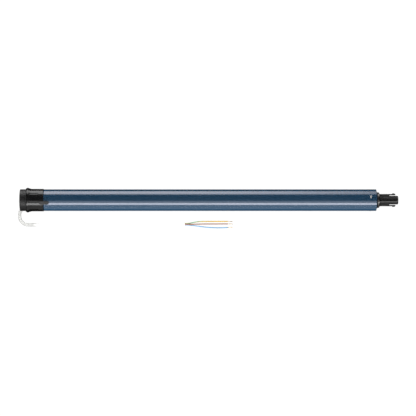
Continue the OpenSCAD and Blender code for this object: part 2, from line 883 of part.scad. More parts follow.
module rotor_bushes() {
    color(bronze) {
        pipe(rear_bell_x0, rear_bell_x0 + bush_len, shaft_r + run, bush_r);
        pipe(brake_x0 - bush_len, brake_x0, shaft_r + run, bush_r);
    }
}

module stator_core() {
    color([0.5, 0.52, 0.55])
        across(stator_x0)
            linear_extrude(stator_len)
                difference() {
                    circle(r = bore_r);
                    circle(r = stator_bore_r);
                    for (k = [0:slot_n - 1])
                        rotate(360 * k / slot_n) {
                            translate([slot_pos, 0])
                                circle(r = slot_r);
                            translate([stator_bore_r - 1, -0.4])
                                square([slot_pos - stator_bore_r + 1, 0.8]);
                        }
                }
}

module stator_windings() {
    color(copper) {
        for (k = [0:slot_n - 1])
            rotate([360 * k / slot_n, 0, 0])
                translate([0, slot_pos, 0])
                    bar(stator_x0, front_bell_x0, slot_r);
        for (x = [stator_x0 - turn_len, front_bell_x0])
            turned([
                [x, turn_r0 + 0.8], [x, turn_r1 - 0.8], [x + 0.8, turn_r1], [x + turn_len - 0.8, turn_r1],
                [x + turn_len, turn_r1 - 0.8], [x + turn_len, turn_r0 + 0.8],
                [x + turn_len - 0.8, turn_r0], [x + 0.8, turn_r0]
            ]);
    }
}

module thermal_cutout() {
    x1 = stator_x0 - turn_len;
    color([0.9, 0.88, 0.8])
        block([rear_bell_x0 + bell_wall, -4, -turn_r1 + 0.4], [x1, 4, -turn_r0 + 0.4]);
}

module rotor_shaft() {
    color(steel)
        turned([
            [rear_bell_x0 + 1, 0], [rear_bell_x0 + 1, shaft_r], [gear_x0 + 3, shaft_r],
            [gear_x0 + 3, pinion_bore_r], [plate1_x0 - 0.8, pinion_bore_r], [plate1_x0 - 0.8, 0]
        ]);
}

module rotor_core() {
    color([0.45, 0.47, 0.5])
        difference() {
            pipe(rotor_x0, rotor_x0 + rotor_len, shaft_r, rotor_r);
            cage_bars();
        }
}

module cage_bars() {
    for (k = [0:bar_n - 1])
        rotate([360 * k / bar_n, 0, 0])
            translate([0, bar_pos, 0])
                bar(rotor_x0, rotor_x0 + rotor_len, bar_r);
}

module rotor_cage() {
    color([0.8, 0.8, 0.82]) {
        cage_bars();
        for (x = [rotor_x0 - cage_t, rotor_x0 + rotor_len])
            pipe(x, x + cage_t, bar_pos - bar_r - 0.6, rotor_r - 0.2);
    }
}

module brake_housing() {
    x1 = gear_x0;
    hole = shaft_r + 0.6;
    color([0.6, 0.62, 0.64])
        difference() {
            turned([
                [brake_x0, hole], [brake_x0, bore_r], [x1, bore_r], [x1, hole + 4],
                [disc_x0 + 6.3, hole + 4], [disc_x0 + 6.3, brake_bore_r], [coil_x0, brake_bore_r],
                [coil_x0, hole]
            ]);
            for (a = [0, 180])
                rotate([a, 0, 0])
                    block(
                        [coil_x0 + coil_len, 0, -lug_w / 2 - gap],
                        [disc_x0 + 3, brake_bore_r + 1.2, lug_w / 2 + gap]
                    );
        }
}

module brake_coil() {
    color(copper)
        pipe(coil_x0, coil_x0 + coil_len, coil_bore_r, brake_bore_r);
}

module brake_armature() {
    color([0.55, 0.56, 0.6])
        difference() {
            union() {
                bar(armature_x0, armature_x1, brake_bore_r - gap);
                for (a = [0, 180])
                    rotate([a, 0, 0])
                        block([armature_x0, 0, -lug_w / 2], [armature_x1, brake_bore_r + 0.8, lug_w / 2]);
            }
            bar(armature_x0 - e, armature_x1 + e, shaft_r + 0.6);
        }
}

module brake_spring() {
    low = coil_x0 + spring_wire / 2;
    high = armature_x0 - spring_wire / 2;
    rise = (high - low) / spring_turns;
    steps = 14;
    spring_points = [
        for (i = [0:spring_turns * steps])
            let (a = 360 * i / steps)
            [low + rise * i / steps, spring_mid_r * cos(a), spring_mid_r * sin(a)]
    ];
    echo(spring_gap = rise - spring_wire);
    color(steel)
        swept(spring_points, [for (p = spring_points) spring_wire / 2 - 0.02], 6);
}

module brake_disc() {
    color([0.35, 0.3, 0.25]) {
        pipe(disc_x0, disc_x0 + 6, shaft_r, brake_bore_r - 1);
        pipe(disc_x0 + 6, disc_x0 + 9, shaft_r, shaft_r + 3);
    }
}

module motor_pinion() {
    color(steel)
        across(p1_x0 - play - head_t)
            linear_extrude(stage_w1 + head_t)
                difference() {
                    gear_shape(gear_module, sun_z, addendum, dedendum, -thinning);
                    circle(r = pinion_bore_r);
                }
}

module gear_housing() {
    color([0.62, 0.62, 0.6])
        difference() {
            bar(gear_x0, gear_x1, bore_r);
            across(gear_x0 + 4)
                linear_extrude(gear_x1 - gear_x0)
                    gear_shape(gear_module, ring_z, dedendum, addendum, thinning);
            bar(gear_x0 - e, gear_x0 + 5, shaft_r + 4.6);
        }
}

// one planet gear of a stage that begins at x, number k of three
module planet(x, w, k) {
    color([0.75, 0.7, 0.58])
        rotate([120 * k, 0, 0])
            translate([0, planet_pos, 0])
                across(x)
                    linear_extrude(w)
                        difference() {
                            gear_shape(gear_module, planet_z, addendum, dedendum, -thinning);
                            circle(r = planet_bore_r);
                        }
}

module planet_1a() { planet(p1_x0, stage_w1, 0); }
module planet_1b() { planet(p1_x0, stage_w1, 1); }
module planet_1c() { planet(p1_x0, stage_w1, 2); }
module planet_2a() { planet(p2_x0, stage_w2, 0); }
module planet_2b() { planet(p2_x0, stage_w2, 1); }
module planet_2c() { planet(p2_x0, stage_w2, 2); }
module planet_3a() { planet(p3_x0, stage_w3, 0); }
module planet_3b() { planet(p3_x0, stage_w3, 1); }
module planet_3c() { planet(p3_x0, stage_w3, 2); }

// a carrier's plate with its three riveted pins, for planets that begin at x and are w wide
module carrier(x, w, t) {
    plate_x = x + w + play;
    bar(plate_x, plate_x + t, plate_r);
    for (k = [0:2])
        rotate([120 * k, 0, 0])
            translate([0, planet_pos, 0]) {
                bar(x - play - head_t, plate_x + t, planet_pin_r);
                bar(x - play - head_t, x - play, planet_pin_r + 0.8);
            }
}

// the next stage's sun gear, standing on a carrier's plate
module sun(x0, x1) {
    across(x0)
        linear_extrude(x1 - x0)
            gear_shape(gear_module, sun_z, addendum, dedendum, -thinning);
}

module carrier_1() {
    color(steel) {
        carrier(p1_x0, stage_w1, plate_t);
        sun(plate1_x0 + plate_t, plate2_x0 - 0.8);
    }
}

module carrier_2() {
    color(steel) {
        carrier(p2_x0, stage_w2, plate_t);
        sun(plate2_x0 + plate_t, out_plate_x0 - 0.8);
    }
}

module output_carrier() {
    color(steel)
        difference() {
            union() {
                carrier(p3_x0, stage_w3, out_plate_t);
                bar(gear_x1 - 1, bright_x1, out_r);
                block([bright_x1, -square_w / 2, -square_w / 2], [square_x1, square_w / 2, square_w / 2]);
            }
            bar(square_x1 - 12, square_x1 + e, drive_screw_r);
        }
}

module gearbox_cover() {
    color(black)
        difference() {
            turned([
                [gear_x1, out_bush_r], [gear_x1, bore_r], [roll_x0 - tube_wall / 2, bore_r],
                [tube_x1, cone_r1], [cone_x1, cone_r2], [cone_x1, out_bush_r]
            ]);
            tube_screw_holes();
        }
}

module output_bush() {
    color(steel)
        turned([
            [gear_x1, out_r + run], [gear_x1, out_bush_r], [cone_x1, out_bush_r], [cone_x1, cone_r2 - 0.2],
            [cone_x1 + 0.3, cone_r2], [bright_x1, rail_span / 2 + 0.2], [bright_x1, out_r + run]
        ]);
}

module drive_shaft() {
    color(black)
        difference() {
            union() {
                turned([
                    [drive_x0, 0], [drive_x0, core_r], [drive_x1 - 1.2, core_r], [drive_x1, core_r - 1.6],
                    [drive_x1, 0]
                ]);
                block([drive_x0, -rail_span / 2, -rail_h / 2], [rail_x1, rail_span / 2, rail_h / 2]);
            }
            for (a = [0, 180])
                rotate([a, 0, 0])
                    block(
                        [drive_x0 - e, -key_w / 2, core_r - key_depth],
                        [drive_x1 - 2.5, key_w / 2, core_d]
                    );
            for (s = [-1, 1])
                translate([rail_x1, s * arm_y, -tube_d])
                    cylinder(h = 2 * tube_d, r = knuckle_r + run);
            block(
                [drive_x0 - e, -square_w / 2, -square_w / 2], [square_x1, square_w / 2, square_w / 2]
            );
            bar(square_x1 - e, drive_x1 + e, drive_screw_r);
            bar(square_x1 + 3.5, drive_x1 + e, drive_head_r + 0.3);
        }
}

module drive_screw() {
    x = square_x1 + 3.5;
    color(steel)
        difference() {
            union() {
                bar(square_x1 - 11, x, drive_screw_r);
                bar(x, x + drive_head_h, drive_head_r);
            }
            for (a = [0, 90])
                rotate([a, 0, 0])
                    block([x + drive_head_h - 1.5, -2.4, -0.45], [x + drive_head_h + e, 2.4, 0.45]);
        }
}

// a latch arm on the +Y side: round root, straight arm and a hook that slopes to the tip
module latch() {
    y0 = arm_y - arm_t / 2;
    y1 = arm_y + arm_t / 2;
    translate([rail_x1, arm_y, -rail_h / 2])
        cylinder(h = rail_h, r = knuckle_r);
    translate([0, 0, -rail_h / 2])
        linear_extrude(rail_h)
            polygon([
                [rail_x1, y0], [rail_x1 + arm_len, y0], [rail_x1 + arm_len, y1],
                [rail_x1 + arm_len - 1, y1 + hook_h * 0.5], [rail_x1 + arm_len - 3, y1 + hook_h],
                [rail_x1 + arm_len - 4.2, y1 + hook_h], [rail_x1 + arm_len - 5, y1], [rail_x1, y1]
            ]);
}

module latch_arm_a() {
    color(black)
        latch();
}

module latch_arm_b() {
    color(black)
        mirror([0, 1, 0])
            latch();
}

module cable() {
    color(white)
        swept(cable_route, [for (p = cable_route) cable_r], 10);
}

// a stripped wire: its insulation, then bare strands straight on
module wire(route) {
    n = len(route) - 1;
    way = unit(route[n] - route[n - 1]);
    bare = [route[n] + 0.2 * way, route[n] + strand_len * way];
    swept(concat(route, bare), concat([for (p = route) wire_d / 2], [strand_d / 2, strand_d / 2]), 8);
}

module wire_brown() {
    color([0.4, 0.24, 0.14])
        wire(brown_route);
}

module wire_blue() {
    color([0.16, 0.4, 0.68])
        wire(blue_route);
}

module wire_green_yellow() {
    color([0.75, 0.78, 0.15])
        wire(green_route);
}

head_cap();
head_body();
head_screws();
cable_clamp();
sensor_board();
set_button();
crown_ring();
encoder_pinion();
encoder_magnet();
motor_tube();
tube_screws();
board_carrier();
control_board();
terminal_block();
supply_leads();
power_module();
relays();
radio_module();
motor_connector();
motor_leads();
run_capacitor();
capacitor_clips();
rear_bell();
front_bell();
rotor_bushes();
stator_core();
stator_windings();
thermal_cutout();
rotor_shaft();
rotor_core();
rotor_cage();
brake_housing();
brake_coil();
brake_spring();
brake_armature();
brake_disc();
motor_pinion();
gear_housing();
planet_1a();
planet_1b();
planet_1c();
planet_2a();
planet_2b();
planet_2c();
planet_3a();
planet_3b();
planet_3c();
carrier_1();
carrier_2();
output_carrier();
gearbox_cover();
output_bush();
drive_shaft();
drive_screw();
latch_arm_a();
latch_arm_b();
cable();
wire_brown();
wire_blue();
wire_green_yellow();
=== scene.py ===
import math

import bmesh
import bpy
from mathutils import Matrix, Vector


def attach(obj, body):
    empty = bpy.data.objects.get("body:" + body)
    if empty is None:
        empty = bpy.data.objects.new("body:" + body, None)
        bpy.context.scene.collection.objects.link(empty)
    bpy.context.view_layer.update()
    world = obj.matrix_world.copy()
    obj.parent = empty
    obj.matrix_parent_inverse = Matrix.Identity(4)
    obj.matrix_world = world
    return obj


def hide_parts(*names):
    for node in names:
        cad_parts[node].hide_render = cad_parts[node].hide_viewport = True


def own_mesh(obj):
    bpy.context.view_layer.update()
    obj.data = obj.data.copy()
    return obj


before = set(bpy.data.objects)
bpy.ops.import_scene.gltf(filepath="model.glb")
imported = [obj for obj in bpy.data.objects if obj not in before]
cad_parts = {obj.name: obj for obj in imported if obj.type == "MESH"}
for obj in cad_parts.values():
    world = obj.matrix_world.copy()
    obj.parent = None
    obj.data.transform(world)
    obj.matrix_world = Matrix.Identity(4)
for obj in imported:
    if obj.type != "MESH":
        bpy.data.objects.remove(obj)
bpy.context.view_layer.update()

# Camera
# It looks straight down on the motor from 3.2 m, with the head on the left and the drive end on the
# right. The lens takes in 677 mm at the height of the motor's axis.
MM = 0.001
CAMERA_AT = (305.6, -12.8, 3200)
SEEN_WIDTH = 677
lens = bpy.data.cameras.new("camera")
lens.sensor_width = 36
lens.lens = lens.sensor_width * CAMERA_AT[2] / SEEN_WIDTH
camera = bpy.data.objects.new("camera", lens)
camera.location = Vector(CAMERA_AT) * MM
bpy.context.collection.objects.link(camera)
bpy.context.scene.camera = camera


# Cable
# Round white mains cable with a PVC sheath. It comes out of the notch in the head's cap, falls to the
# table, turns back along the motor and ends where the sheath is cut from its three wires. Up to the
# bend its white carries a painted shade, which fades out past the bend, so the cable is nearly lost in the
# white.
CABLE_D = 5.3
PAINTED_SHADE_TO = 19
WHITE_FROM = 38
cable_route = [
    (33, -4.7, -3.9), (24, -4.7, -3.9), (16.4, -4.7, -3.9), (14.2, -4.9, -4), (12.1, -5.4, -4.4),
    (10.2, -6.2, -5.1), (8.5, -7.3, -6), (7.1, -8.6, -7.1), (5, -11.1, -9.1), (2.9, -13.6, -11.2),
    (1.2, -15.7, -12.9), (-0.5, -17.7, -14.3), (-1.5, -19.5, -15.4), (-2.2, -21.5, -16.3),
    (-2.6, -23.9, -17), (-2.7, -26.3, -17.4), (-2.2, -29.9, -17.6), (-0.7, -33.3, -17.6),
    (1.5, -36.2, -17.6), (4.4, -38.4, -17.6), (7.8, -39.8, -17.6), (11.4, -40.3, -17.6),
    (20, -40.4, -17.6), (35, -40.3, -17.6), (52, -40.2, -17.6), (69, -40.1, -17.6), (86, -40, -17.6),
    (103, -40, -17.6), (120, -40, -17.6), (137, -40, -17.6), (154, -39.9, -17.6), (171, -39.8, -17.6),
    (188, -39.7, -17.6), (205, -39.6, -17.6), (222, -39.5, -17.6), (239, -39.4, -17.6),
    (253, -39.4, -17.6), (267, -39.4, -17.6),
]


def finish(name, tones, gloss, patch, grain, depth, metal=0.0, stretch=(1, 1, 1), specular=0.5):
    """A finish whose colour wanders between two tones in patches and whose roughness wanders with it
    between the two of gloss, with a fine grain standing up from it. Sizes are in millimetres."""
    made = bpy.data.materials.new(name)
    made.use_nodes = True
    nodes, links = made.node_tree.nodes, made.node_tree.links
    shader = nodes["Principled BSDF"]
    place = nodes.new("ShaderNodeTexCoord")
    turn = nodes.new("ShaderNodeMapping")
    turn.inputs["Scale"].default_value = stretch
    links.new(place.outputs["Object"], turn.inputs["Vector"])
    patches = nodes.new("ShaderNodeTexNoise")
    patches.inputs["Scale"].default_value = 1 / (patch * MM)
    patches.inputs["Detail"].default_value = 4
    links.new(turn.outputs["Vector"], patches.inputs["Vector"])
    ramp = nodes.new("ShaderNodeValToRGB")
    for element, tone, at in zip(ramp.color_ramp.elements, tones, (0.3, 0.7)):
        element.position = at
        element.color = (*tone, 1)
    links.new(patches.outputs["Fac"], ramp.inputs["Fac"])
    links.new(ramp.outputs["Color"], shader.inputs["Base Color"])
    rough = nodes.new("ShaderNodeMapRange")
    rough.inputs["From Min"].default_value = 0.3
    rough.inputs["From Max"].default_value = 0.7
    rough.inputs["To Min"].default_value = gloss[0]
    rough.inputs["To Max"].default_value = gloss[1]
    links.new(patches.outputs["Fac"], rough.inputs["Value"])
    links.new(rough.outputs["Result"], shader.inputs["Roughness"])
    grains = nodes.new("ShaderNodeTexNoise")
    grains.inputs["Scale"].default_value = 1 / (grain * MM)
    grains.inputs["Detail"].default_value = 2
    links.new(turn.outputs["Vector"], grains.inputs["Vector"])
    bump = nodes.new("ShaderNodeBump")
    bump.inputs["Strength"].default_value = 1
    bump.inputs["Distance"].default_value = depth * MM
    links.new(grains.outputs["Fac"], bump.inputs["Height"])
    links.new(bump.outputs["Normal"], shader.inputs["Normal"])
    shader.inputs["Metallic"].default_value = metal
    shader.inputs["Specular IOR Level"].default_value = specular
    return made


def cord_curve(name, routes, thick):
    """Round cords along routes of points in millimetres, as the splines of one curve."""
    curve = bpy.data.curves.new(name, "CURVE")
    curve.dimensions = "3D"
    curve.resolution_u = 6
    curve.bevel_depth = thick / 2 * MM
    curve.bevel_resolution = 6
    curve.use_fill_caps = True
    for route in routes:
        spline = curve.splines.new("BEZIER")
        spline.bezier_points.add(len(route) - 1)
        for point, at in zip(spline.bezier_points, route):
            point.co = Vector(at) * MM
            point.handle_left_type = point.handle_right_type = "AUTO"
    piece = bpy.data.objects.new(name, curve)
    bpy.context.collection.objects.link(piece)
    return piece


def laid(piece, material, slot, *stands_for):
    """Fixes a cord or lead to the motor, with its finish, in place of the CAD nodes that it stands for."""
    piece.data.materials.clear()
    piece.data.materials.append(material)
    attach(piece, "base")
    if stands_for:
        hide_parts(*stands_for)
    return piece


def shade_between(material, tone, start, stop, rough=None):
    """Shades a finish with a tone up to a place along X, and lets the shade fade out until a second one.
    The shaded part can have a roughness of its own."""
    nodes, links = material.node_tree.nodes, material.node_tree.links
    shader = nodes["Principled BSDF"]
    plain = shader.inputs["Base Color"].links[0].from_socket
    place = nodes.new("ShaderNodeTexCoord")
    parts = nodes.new("ShaderNodeSeparateXYZ")
    links.new(place.outputs["Object"], parts.inputs["Vector"])
    fade = nodes.new("ShaderNodeMapRange")
    fade.inputs["From Min"].default_value = start * MM
    fade.inputs["From Max"].default_value = stop * MM
    fade.inputs["To Min"].default_value = 1
    fade.inputs["To Max"].default_value = 0
    links.new(parts.outputs["X"], fade.inputs["Value"])
    both = nodes.new("ShaderNodeMix")
    both.data_type = "RGBA"
    both.blend_type = "MULTIPLY"
    both.inputs["B"].default_value = (*tone, 1)
    links.new(fade.outputs["Result"], both.inputs["Factor"])
    links.new(plain, both.inputs["A"])
    links.new(both.outputs["Result"], shader.inputs["Base Color"])
    if rough:
        gloss = nodes.new("ShaderNodeMix")
        links.new(fade.outputs["Result"], gloss.inputs["Factor"])
        links.new(shader.inputs["Roughness"].links[0].from_socket, gloss.inputs["A"])
        gloss.inputs["B"].default_value = rough
        links.new(gloss.outputs["Result"], shader.inputs["Roughness"])


sheath_white = finish(
    "sheath_white", [(0.82, 0.82, 0.81), (0.87, 0.87, 0.86)], (0.38, 0.5), 14, 0.5, 0.02, specular=0.05
)
# Painted shade: the sheath's white is multiplied darker up to the bend and fades back to plain white past it.
shade_between(sheath_white, (0.395, 0.395, 0.39), PAINTED_SHADE_TO, WHITE_FROM)
cable_curve = cord_curve("cable_sheath", [cable_route], CABLE_D)
cable_sheath = laid(cable_curve, sheath_white, "white_sheath", "cable")
cable_sheath.visible_glossy = False


# Wires
# Brown, blue and green-yellow stranded copper wires with PVC insulation, 71 mm of each free of the
# sheath. The last 8 mm is stripped, and its seven strands are twisted together.
WIRE_D = 1.7
STRAND_D = 0.38
BARE_LEN = 8
STRAND_TWIST = 0.8
STRAND_STEPS = 16
STRIPE_UP = 278
STRIPE_TURN = 90
STRIPE_EDGE = (0.65, 0.75)
STRIPE_GREEN = (0.07, 0.25, 0.16, 1)
PVC = ((0.35, 0.45), 6, 0.4, 0.01)
wire_routes = {
    "green_yellow": [
        (267, -38.4, -18.2), (271, -38.2, -18.3), (275, -37.8, -18.6), (280, -36.9, -19),
        (285, -35.9, -19.3), (290, -35.2, -19.4), (296, -34.9, -19.4), (302, -34.8, -19.4),
        (308, -34.8, -19.4), (314, -34.8, -19.4), (320, -34.8, -19.4), (326, -34.8, -19.4),
        (332, -34.8, -19.4), (335, -34.8, -19.4), (338, -34.8, -19.4),
    ],
    "brown": [
        (267, -39.4, -16.5), (271, -39.4, -16.5), (275, -39.4, -16.8), (280, -39.4, -17.5),
        (285, -39.3, -18.4), (290, -39.2, -19.1), (296, -39.1, -19.4), (302, -39, -19.4),
        (308, -39, -19.4), (314, -39, -19.4), (320, -39, -19.4), (326, -38.9, -19.4),
        (332, -38.9, -19.4), (335, -38.9, -19.4), (338, -38.9, -19.4),
    ],
    "blue": [
        (267, -40.4, -18.2), (271, -40.5, -18.3), (275, -40.8, -18.6), (280, -41.3, -19),
        (285, -42, -19.3), (290, -42.7, -19.4), (296, -43.5, -19.4), (302, -44.2, -19.4),
        (308, -44.7, -19.4), (314, -45, -19.4), (320, -45.2, -19.4), (326, -45.2, -19.4),
        (332, -45, -19.4), (335, -44.9, -19.4), (338, -44.7, -19.4),
    ],
}
wire_finishes = {
    "green_yellow": finish(
        "wire_green_yellow_pvc", [(0.335, 0.205, 0.008), (0.365, 0.225, 0.012)], *PVC
    ),
    "brown": finish("wire_brown_pvc", [(0.175, 0.066, 0.036), (0.22, 0.084, 0.045)], *PVC),
    "blue": finish("wire_blue_pvc", [(0.075, 0.20, 0.335), (0.09, 0.22, 0.365)], *PVC),
}
bare_copper = finish(
    "bare_copper", [(0.90, 0.70, 0.46), (0.96, 0.78, 0.56)], (0.3, 0.45), 1.5, 0.1, 0.004, metal=1.0
)


def as_mesh(piece):
    """Makes a curve a mesh of the same name."""
    name = piece.name
    data = bpy.data.meshes.new_from_object(piece)
    bpy.data.objects.remove(piece)
    data.name = name
    data.shade_smooth()
    made = bpy.data.objects.new(name, data)
    bpy.context.collection.objects.link(made)
    return made


def bare_strands(name, start, way):
    """Seven copper strands twisted round each other, from the end of a wire's insulation on."""
    side = way.cross(Vector((0, 0, 1))).normalized()
    up = side.cross(way)
    along = [k / STRAND_STEPS for k in range(STRAND_STEPS + 1)]
    routes = []
    for strand in range(7):
        out = 0 if strand == 0 else STRAND_D
        angles = [math.tau * (strand / 6 + STRAND_TWIST * part) for part in along]
        routes.append([
            start + way * BARE_LEN * part + out * (math.cos(a) * side + math.sin(a) * up)
            for part, a in zip(along, angles)
        ])
    strands = cord_curve(name, routes, STRAND_D)
    strands.data.resolution_u = 1
    strands.data.bevel_resolution = 2
    return laid(as_mesh(strands), bare_copper, "copper")


def mark_stripe(data, route):
    """Writes on each point of a wire's mesh how near it lies to the middle of the green stripe, which
    turns slowly round the wire: 1 is its middle and -1 the far side."""
    stripe = data.attributes.new("stripe", "FLOAT", "POINT")
    for vert in data.vertices:
        at = vert.co / MM
        before = max(k for k in range(len(route) - 1) if k == 0 or route[k][0] <= at.x)
        a, b = Vector(route[before]), Vector(route[before + 1])
        middle = a.lerp(b, (at.x - a.x) / (b.x - a.x))
        angle = math.atan2(at.y - middle.y, at.z - middle.z)
        stripe.data[vert.index].value = math.cos(angle - math.tau * (at.x - STRIPE_UP) / STRIPE_TURN)


def add_stripe(material):
    """Lays the green stripe over a wire's yellow."""
    nodes, links = material.node_tree.nodes, material.node_tree.links
    shader = nodes["Principled BSDF"]
    yellow = shader.inputs["Base Color"].links[0].from_socket
    mark = nodes.new("ShaderNodeAttribute")
    mark.attribute_name = "stripe"
    edge = nodes.new("ShaderNodeMapRange")
    edge.inputs["From Min"].default_value, edge.inputs["From Max"].default_value = STRIPE_EDGE
    links.new(mark.outputs["Fac"], edge.inputs["Value"])
    both = nodes.new("ShaderNodeMix")
    both.data_type = "RGBA"
    links.new(edge.outputs["Result"], both.inputs["Factor"])
    links.new(yellow, both.inputs["A"])
    both.inputs["B"].default_value = STRIPE_GREEN
    links.new(both.outputs["Result"], shader.inputs["Base Color"])


add_stripe(wire_finishes["green_yellow"])
for colour, route in wire_routes.items():
    wire = cord_curve("insulation_" + colour, [route], WIRE_D)
    if colour == "green_yellow":
        wire = as_mesh(wire)
        mark_stripe(wire.data, route)
    laid(wire, wire_finishes[colour], colour + "_wire", "wire_" + colour)
    way = (Vector(route[-1]) - Vector(route[-2])).normalized()
    strands = bare_strands("strands_" + colour, Vector(route[-1]), way)


# Floor and light
# A plain white floor, long soft boxes on both sides of the motor and a bright strip above its near side,
# much longer than the motor, so that their reflections run along it as even bands. The far side's box
# fades towards the drive end and has a gap there. The fills are so bright that the cable is nearly lost
# in the white. Fills, floor and cable aren't mirrored in anything.
FLOOR_X = 305
FLOOR_Z = -20.25
FLOOR_REACH = 6
FLOOR_GLOW = 0.93
SKY_GLOW = 0.03
FAR_GAP = (0.76, 0.95)
FADE_FROM = 0.36
FADE_TO = 0.55
floor_mesh = bmesh.new()
bmesh.ops.create_grid(floor_mesh, x_segments=8, y_segments=8, size=FLOOR_REACH)
bmesh.ops.translate(floor_mesh, vec=(FLOOR_X * MM, 0, FLOOR_Z * MM), verts=floor_mesh.verts)
floor_data = bpy.data.meshes.new("floor")
floor_mesh.to_mesh(floor_data)
floor_mesh.free()
floor_white = finish(
    "floor_white", [(0.045, 0.045, 0.045), (0.055, 0.055, 0.055)], (0.8, 0.9), 300, 5, 0.01, specular=0
)
floor_shader = floor_white.node_tree.nodes["Principled BSDF"]
floor_shader.inputs["Emission Color"].default_value = (1, 1, 1, 1)
floor_shader.inputs["Emission Strength"].default_value = FLOOR_GLOW
floor_data.materials.append(floor_white)
floor = bpy.data.objects.new("floor", floor_data)
floor.visible_glossy = False
floor.visible_shadow = False
bpy.context.collection.objects.link(floor)


def softbox(name, angle, distance, tall, bright, ends=(-1.2, 1.8)):
    """A soft box along the motor, at an angle from straight up towards +Y and a distance from its axis.
    Its ends are places along X, and its brightness is the same whatever its size."""
    light = bpy.data.lights.new(name, "AREA")
    light.shape = "RECTANGLE"
    along = ends[1] - ends[0]
    light.size = along
    light.size_y = tall
    light.energy = bright * math.pi * along * tall
    lamp = bpy.data.objects.new(name, light)
    turn = math.radians(angle)
    lamp.location = (sum(ends) / 2, distance * math.sin(turn), distance * math.cos(turn))
    lamp.rotation_euler = (-turn, 0, 0)
    bpy.context.collection.objects.link(lamp)
    return lamp


far_box = softbox("far_side_box", 86.8, 1.5, 1.2, 3.7, ends=(-1.2, FAR_GAP[0]))
softbox("far_end_box", 86.8, 1.5, 1.2, 3.7, ends=(FAR_GAP[1], 1.8))
softbox("near_strip", -41.8, 1.6, 0.465, 6.0)
softbox("near_glow", -31.3, 1.7, 1.35, 1.2)
softbox("near_side_box", -83.5, 1.8, 1.95, 0.6)
near_fill = softbox("near_fill", -82, 1.6, 1.0, 25.0)
top_fill = softbox("top_fill", 12, 1.6, 1.6, 5.0)
far_fill = softbox("far_fill", 85, 1.6, 1.0, 9.0)
for fill in (near_fill, top_fill, far_fill):
    fill.visible_glossy = False
far_box.data.use_nodes = True
glow = far_box.data.node_tree
place = glow.nodes.new("ShaderNodeNewGeometry")
along_x = glow.nodes.new("ShaderNodeSeparateXYZ")
fade = glow.nodes.new("ShaderNodeMapRange")
for socket, value in zip(("From Min", "From Max", "To Min", "To Max"), (FADE_FROM, FAR_GAP[0], 1, FADE_TO)):
    fade.inputs[socket].default_value = value
glow.links.new(place.outputs["Position"], along_x.inputs["Vector"])
glow.links.new(along_x.outputs["X"], fade.inputs["Value"])
glow.links.new(fade.outputs["Result"], glow.nodes["Emission"].inputs["Strength"])
world = bpy.data.worlds.new("studio")
world.use_nodes = True
sky = world.node_tree.nodes["Background"]
sky.inputs["Color"].default_value = (1, 1, 1, 1)
sky.inputs["Strength"].default_value = SKY_GLOW
backdrop = world.node_tree.nodes.new("ShaderNodeBackground")
backdrop.inputs["Color"].default_value = (1, 1, 1, 1)
seen = world.node_tree.nodes.new("ShaderNodeLightPath")
either = world.node_tree.nodes.new("ShaderNodeMixShader")
world.node_tree.links.new(seen.outputs["Is Camera Ray"], either.inputs["Fac"])
world.node_tree.links.new(sky.outputs["Background"], either.inputs[1])
world.node_tree.links.new(backdrop.outputs["Background"], either.inputs[2])
world.node_tree.links.new(either.outputs["Shader"], world.node_tree.nodes["World Output"].inputs["Surface"])
bpy.context.scene.world = world
bpy.context.scene.view_settings.view_transform = "Standard"


# Head cap
# Black cap of moulded glass-filled nylon that closes the head, with fine rings round it. Its end has two
# fixing holes for the wall bracket, the set button's hole and a notch that lets the cable out sideways.
CAP_R = 17.65
CAP_LEN = 9.5
CAP_ROUND = 0.8
RING_X = (2, 4.2, 6.4)
RING_W = 0.6
RING_DEPTH = 0.3
RING_SLOPE = 0.12
NECK_R = 13.5
PLUG_LEN = 2
FIX_OUT = 11
FIX_R = 2.1
FIX_DEPTH = 6.5
CAP_SCREW_OUT = 10.6
CAP_SCREW_R = 1.25
CAP_SCREW_ROOM = 0.03
SINK_DEPTH = 1.35
BUTTON_OUT = 7.5
BUTTON_HOLE_R = 3.07
BUTTON_WELL = 5.8
STEM_HOLE_R = 1.57
NOTCH_ANGLE = 219
NOTCH_W = 6.1
NOTCH_X = 8.5


def arc(x, r, radius, start, stop, steps=5):
    """Points of a section along an arc, between two angles from the motor's axis outwards."""
    angles = [math.radians(start + (stop - start) * k / steps) for k in range(steps + 1)]
    return [(x + radius * math.cos(a), r + radius * math.sin(a)) for a in angles]


def turned(section, steps=160, y=0, z=0):
    """A solid turned round a line along X from the corners of its section, (place along X, radius)."""
    made = bmesh.new()
    corners = [made.verts.new((x * MM, 0, r * MM)) for x, r in section]
    sides = [made.edges.new(pair) for pair in zip(corners, corners[1:] + corners[:1])]
    bmesh.ops.spin(
        made, geom=corners + sides, cent=(0, 0, 0), axis=(1, 0, 0), angle=math.tau, steps=steps,
        use_merge=True,
    )
    bmesh.ops.remove_doubles(made, verts=made.verts, dist=1e-7)
    bmesh.ops.delete(made, geom=[edge for edge in made.edges if edge.is_wire], context="EDGES")
    bmesh.ops.recalc_face_normals(made, faces=made.faces)
    bmesh.ops.translate(made, vec=(0, y * MM, z * MM), verts=made.verts)
    return made


def block(low, high):
    """A block between two corners in millimetres."""
    made = bmesh.new()
    bmesh.ops.create_cube(made, size=1)
    bmesh.ops.scale(made, vec=[(b - a) * MM for a, b in zip(low, high)], verts=made.verts)
    bmesh.ops.translate(made, vec=[(a + b) / 2 * MM for a, b in zip(low, high)], verts=made.verts)
    return made


def turn_round(made, angle):
    """Turns a mesh round the motor's axis by an angle from +Y towards +Z."""
    turn = Matrix.Rotation(math.radians(angle), 3, "X")
    bmesh.ops.rotate(made, cent=(0, 0, 0), matrix=turn, verts=made.verts)
    return made


